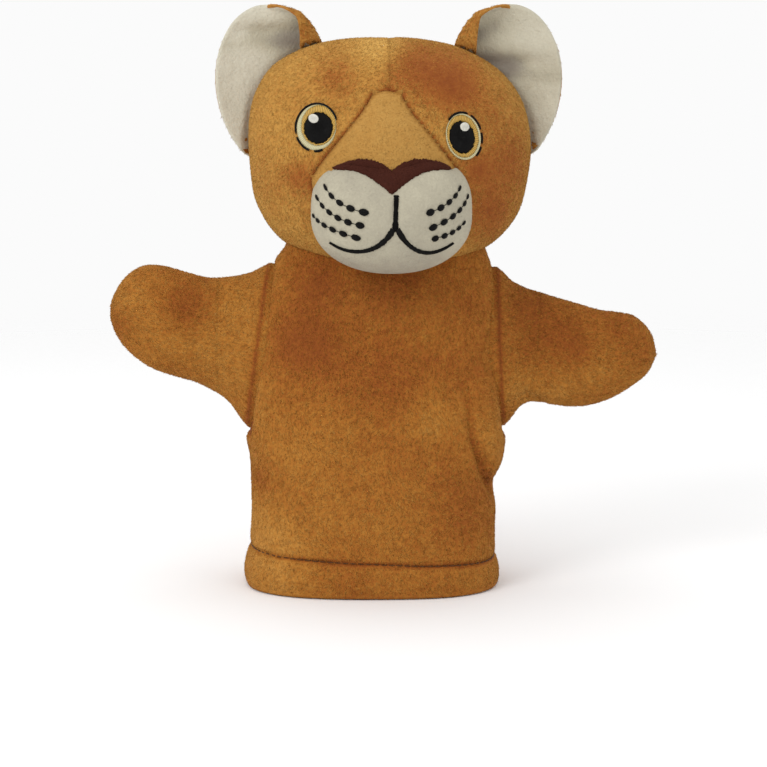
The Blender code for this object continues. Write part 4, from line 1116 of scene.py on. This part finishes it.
def makeEar(word, side, part):
    look = earShape
    bm = bmesh.new()
    bmesh.ops.create_circle(bm, cap_ends=True, cap_tris=True, segments=72, radius=1.0)
    spokes = [e for e in bm.edges if any(v.co.length < 1e-6 for v in e.verts)]
    bmesh.ops.subdivide_edges(bm, edges=spokes, cuts=22, use_grid_fill=True)
    if (side > 0) != (part == "EarLining"):  # lining faces forwards, back faces backwards
        bmesh.ops.reverse_faces(bm, faces=bm.faces)
    thing = makePiece(word + part, bm, "creamPlush" if part == "EarLining" else "headPlush")
    unit = getPoints(thing)
    a, b = unit[:, 0], unit[:, 1]
    # on the rolled side the back turns over the lining's edge
    inward = np.clip(0.3 - a * 3, 0, 1) * np.clip((b + 0.4) * 3, 0, 1)
    grow = 0.985 + 0.02 * inward if part == "EarBack" else 1.0 - 0.035 * inward
    h = np.where(b > 0, b * look["up"], b * look["down"]) * grow
    s, x, y, nx, ny = earSection(a * np.where(a < 0, grow, 1.0), b)
    depth = 2.0 if part == "EarBack" else 0.0
    edge = np.clip((np.hypot(a, b) - 0.9) / 0.1, 0, 1)
    depth = depth * (1 - 0.4 * edge ** 2)
    x, y = x + nx * depth, y + ny * depth
    y = y + look["baseY"] - look["bow"] * (h / look["up"]) ** 2
    foldHeight = 20.0 if word == "left" else 8.0
    y = y + 1.6 * bump(h - foldHeight - 0.06 * s, 2.2) * bump(s + 2, 16)
    y = y - 1.0 * bump(h - foldHeight - 6, 5.0)
    y = y + 0.5 * cloudNoise(np.stack([s, h, np.zeros_like(s)], axis=1), 0.09, 8 + side)
    turn = math.radians(look["tilt"])
    head = headShape["middle"]
    px = x * math.cos(turn) + h * math.sin(turn)
    pz = h * math.cos(turn) - x * math.sin(turn)
    points = np.stack([head[0] + side * (look["x"][word] + px), y, look["z"] + pz], axis=1)
    target = 5.0 + depth  # the back stays behind the lining
    for sink in (0.0, 1.5, 3.0):  # what is sewn into the head lies inside it
        inside = headHalf(points[:, 2] + sink, side * np.ones(len(s))) - np.abs(points[:, 0] - head[0])
        near = np.clip((inside + 2.5) / 3.0, 0, 1) * (points[:, 2] < head[2] + headShape["above"])
        points[:, 1] = np.where(points[:, 1] < target, points[:, 1] * (1 - near) + target * near, points[:,
                                                                                                         1])
    setPoints(thing, points * mm)
    # painted shade: each lining is darker in its deep lower part and along its fold, plus the painted fold shading
    paintedShading = 0.5 * np.exp(-((s + 8) / 10) ** 2 - ((h + 4) / 18) ** 2) + 0.2 * bump(h - foldHeight + 4, 3.0)
    paintedFoldShading = blobTint(points[:, [0, 2]], look["paintedFoldShading"][word])
    setTint(thing, look["light"][word] - paintedShading + paintedFoldShading if part == "EarLining" else np.full(len(s), 0.45))
    thicken(thing, look["wall"])
    return thing


# pile

pileLooks = {"plush": {"length": 1.15, "width": 0.13, "rise": 0.36, "vary": 0.09, "lighter": 0.2},
             "short": {"length": 0.7, "width": 0.09, "rise": 0.3, "vary": 0.06, "lighter": 0.14},
             "cream": {"length": 0.45, "width": 0.08, "rise": 0.35, "vary": 0.06, "lighter": 0.12}}


def surfaceSamples(thing, count, seed, keep=None):  # random points of a mesh, with normals and tints
    mesh = thing.data
    mesh.calc_loop_triangles()
    tris = np.empty(len(mesh.loop_triangles) * 3, int)
    mesh.loop_triangles.foreach_get("vertices", tris)
    tris = tris.reshape(-1, 3)
    points = getPoints(thing)
    if keep is not None:
        tris = tris[keep(points[tris].mean(axis=1) / mm)]
    normals = np.empty(len(points) * 3)
    mesh.vertex_normals.foreach_get("vector", normals)
    normals = normals.reshape(-1, 3)
    tint = np.empty(len(points))
    mesh.attributes["pileTint"].data.foreach_get("value", tint)
    a, b, c = (points[tris[:, k]] for k in range(3))
    area = np.linalg.norm(np.cross(b - a, c - a), axis=1)
    rng = np.random.default_rng(seed)
    pick = rng.choice(len(tris), count, p=area / area.sum())
    u, v = rng.random((2, count))
    over = u + v > 1
    u[over], v[over] = 1 - u[over], 1 - v[over]
    mix = np.stack([1 - u - v, u, v], axis=1)
    corners = tris[pick]
    place = (points[corners] * mix[:, :, None]).sum(axis=1)
    normal = (normals[corners] * mix[:, :, None]).sum(axis=1)
    return place, unitRows(normal), (tint[corners] * mix).sum(axis=1), rng


def addPile(base, name, count, kind, material, seed, lean=(0, 0, -1), keep=None):
    # short fibres leaning with the brushed pile, each a closed sliver
    look = pileLooks[kind]
    place, normal, tint, rng = surfaceSamples(base, count, seed, keep)
    swirl = np.stack([np.sin(place[:, 2] * 160 + place[:, 0] * 70), np.cos(place[:, 0] * 110 + 1.3) * 0.4,
                      np.sin(place[:, 0] * 130 - place[:, 2] * 60)], axis=1)
    way = np.array(lean, float) + 0.45 * swirl + 0.35 * rng.standard_normal((count, 3))
    way = unitRows(way - normal * (way * normal).sum(axis=1)[:, None])
    grow = unitRows(way + normal * (look["rise"] * (0.6 + 0.8 * rng.random(count)))[:, None])
    length = look["length"] * mm * (0.6 + 0.8 * rng.random(count)) * np.clip(tint * 3, 0.2, 1)
    side = unitRows(np.cross(normal, grow))
    width = look["width"] * mm
    root = place - normal * 0.1 * mm
    verts = np.stack([root + side * width, root - side * width, root + normal * 1.4 * width,
                      root + grow * length[:, None]], axis=1).reshape(-1, 3)
    shape = np.array([[0, 2, 1], [0, 1, 3], [1, 2, 3], [2, 0, 3]])
    faces = (shape[None] + 4 * np.arange(count)[:, None, None]).reshape(-1)
    mesh = bpy.data.meshes.new(name)
    mesh.vertices.add(len(verts))
    mesh.vertices.foreach_set("co", verts.ravel())
    mesh.loops.add(len(faces))
    mesh.loops.foreach_set("vertex_index", faces)
    mesh.polygons.add(len(faces) // 3)
    mesh.polygons.foreach_set("loop_start", np.arange(0, len(faces), 3))
    mesh.update(calc_edges=True)
    bm = bmesh.new()
    bm.from_mesh(mesh)
    bmesh.ops.recalc_face_normals(bm, faces=bm.faces)
    bm.to_mesh(mesh)
    bm.free()
    thing = bpy.data.objects.new(name, mesh)
    bpy.context.scene.collection.objects.link(thing)
    mesh.materials.append(materials[material])
    setTint(thing, np.repeat(tint + look["lighter"] + look["vary"] * rng.standard_normal(count), 4))
    return thing


# stuffing: cloth under a little pressure


def stuff(thing, voxel, pressure, cap, frames=18):
    # the skin is blown up as cloth on a coarse copy, and its points follow
    coarse = thing.copy()
    coarse.data = thing.data.copy()
    bpy.context.scene.collection.objects.link(coarse)
    remesh = coarse.modifiers.new("remesh", "REMESH")
    remesh.mode = "VOXEL"
    remesh.voxel_size = voxel * mm
    graph = bpy.context.evaluated_depsgraph_get()
    mesh = bpy.data.meshes.new_from_object(coarse.evaluated_get(graph))
    coarse.modifiers.clear()
    coarse.data = mesh
    before = np.array([v.co[:] for v in mesh.vertices])
    cloth = coarse.modifiers.new("cloth", "CLOTH")
    cloth.settings.quality = 5
    cloth.settings.mass = 0.1
    cloth.settings.use_pressure = True
    cloth.settings.uniform_pressure_force = pressure
    cloth.settings.effector_weights.gravity = 0
    cloth.collision_settings.use_collision = False
    cloth.point_cache.frame_start = 1
    cloth.point_cache.frame_end = frames
    for number in range(1, frames + 1):
        bpy.context.scene.frame_set(number)
    graph = bpy.context.evaluated_depsgraph_get()
    after = np.array([v.co[:] for v in coarse.evaluated_get(graph).data.vertices])
    move = after - before
    far = np.linalg.norm(move, axis=1)
    move *= np.minimum(1, cap * mm / np.maximum(far, 1e-9))[:, None]
    tree = kdtree.KDTree(len(before))
    for i, spot in enumerate(before):
        tree.insert(spot, i)
    tree.balance()
    points = getPoints(thing)
    for i, spot in enumerate(points):
        found = tree.find_n(spot, 6)
        weights = np.array([1 / (f[2] + 0.4 * mm) for f in found])
        points[i] = spot + (move[[f[1] for f in found]] * weights[:, None]).sum(axis=0) / weights.sum()
    setPoints(thing, points)
    bpy.context.scene.frame_set(1)
    bpy.data.objects.remove(coarse, do_unlink=True)
    print("stuffed", thing.name, "most movement %.2f mm" % (far.max() / mm))


# build it


def fix(piece, body, *nodes):  # the piece goes with a body and stands for its CAD nodes
    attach(piece, body)
    if nodes:
        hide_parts(*nodes)


body = makeBody()
facing = makeHemFacing()
hemStitches = makeHemStitch()
print("body made")
thicken(body, bodyShape["wall"])
fix(body, "glove_body", "front_panel", "back_panel")
fix(facing, "glove_body", "hem_facing")
fix(hemStitches, "glove_body", "hem_topstitch")
for name, count, keep in (("bodyPileFront", 48000, lambda m: (m[:, 1] < 0) & (m[:, 2] > 1.7)),
                          ("bodyPileBack", 30000, lambda m: (m[:, 1] >= 0) & (m[:, 2] > 1.7))):
    fix(addPile(body, name, count, "plush", "bodyPlush", len(name), keep=keep), "glove_body")

for word, look in armShapes.items():
    along, up = armFrame(look)
    way = np.array([along[0], 0.0, along[1]])
    root = makeArm(word, word + "SleeveRoot", -0.16, 0.30, 28)
    mitten = makeArm(word, word + "Mitten", 0.295, 1.0, 60)
    rootPile = addPile(root, word + "SleeveRootPile", 13000, "plush", "bodyPlush", 11 + look["side"], way * 0.8)
    mittenPile = addPile(mitten, word + "MittenPile", 17000, "plush", "bodyPlush", 21 + look["side"], way * 0.8)
    for piece in (root, rootPile):
        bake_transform(piece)
    for piece in (mitten, mittenPile):
        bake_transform(piece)
    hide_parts(word + "_armhole_thread")
    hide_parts(word + "_arm_front", word + "_arm_back")
print("arms made")

head = makeHead()
stuff(head, 4.0, 4.0, 1.5)
panels = splitHead(head)
filling = makeStuffing()
fix(filling, "head", "head_stuffing")
for node in ("finger_pocket", "neck_sleeve", "neck_thread"):
    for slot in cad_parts[node].material_slots:
        slot.material = materials["liningCloth"]
panelNodes = ["bridge_gusset", "face_left", "face_right", "head_back_left", "head_back_right"]
for panel, node in zip(panels, panelNodes):
    fix(panel, "head", node)
    count, kind = (11000, "short") if panel.name == "bridgePanel" else (21000, "plush")
    material = panel.data.materials[0].name
    fix(addPile(panel, panel.name + "Pile", count, kind, material, count // 1000, (0.0, 0.2, -0.6)), "head")
muzzle = makeMuzzle()
stuff(muzzle, 3.0, 4.0, 0.6)
fix(muzzle, "head", "muzzle", "chin_panel", "muzzle_stuffing")
fix(addPile(muzzle, "muzzlePile", 9000, "cream", "creamPlush", 5, keep=lambda m: m[:, 1] < -38), "head")
print("head made")

nose = makeNose()
fix(nose, "head", "nose")
fix(addPile(nose, "nosePile", 3000, "cream", "nosePlush", 3, (0.1, 0, -0.3), keep=lambda m: m[:, 1] < -40), "head")
for name, look in mouthLines.items():
    fix(makeMouthLine(name, look), "head", "mouth_%s_stitch" % name[5:].lower())
for name, row in whiskerRows.items():
    side = "left" if "Left" in name else "right"
    fix(makeWhisker(name, *row), "head", "whisker_%s_%s" % (side, name.split(side.capitalize())[1].lower()))
for word, look in eyeShapes.items():
    cream, *rest = makeEye(word, look)
    fix(cream, "head")
    for piece, node in zip(rest, ("iris", "pupil", "highlight", "outline")):
        fix(piece, "head", word + "_eye_" + node)
for word, side in (("left", -1), ("right", 1)):
    lining = makeEar(word, side, "EarLining")
    back = makeEar(word, side, "EarBack")
    fix(lining, "head", word + "_ear_lining")
    fix(back, "head", word + "_ear_back")
    for piece, kind, material in ((lining, "cream", "creamPlush"), (back, "plush", "headPlush")):
        fix(addPile(piece, piece.name + "Pile", 8000, kind, material, 31 + side), "head")
print("face and ears made")
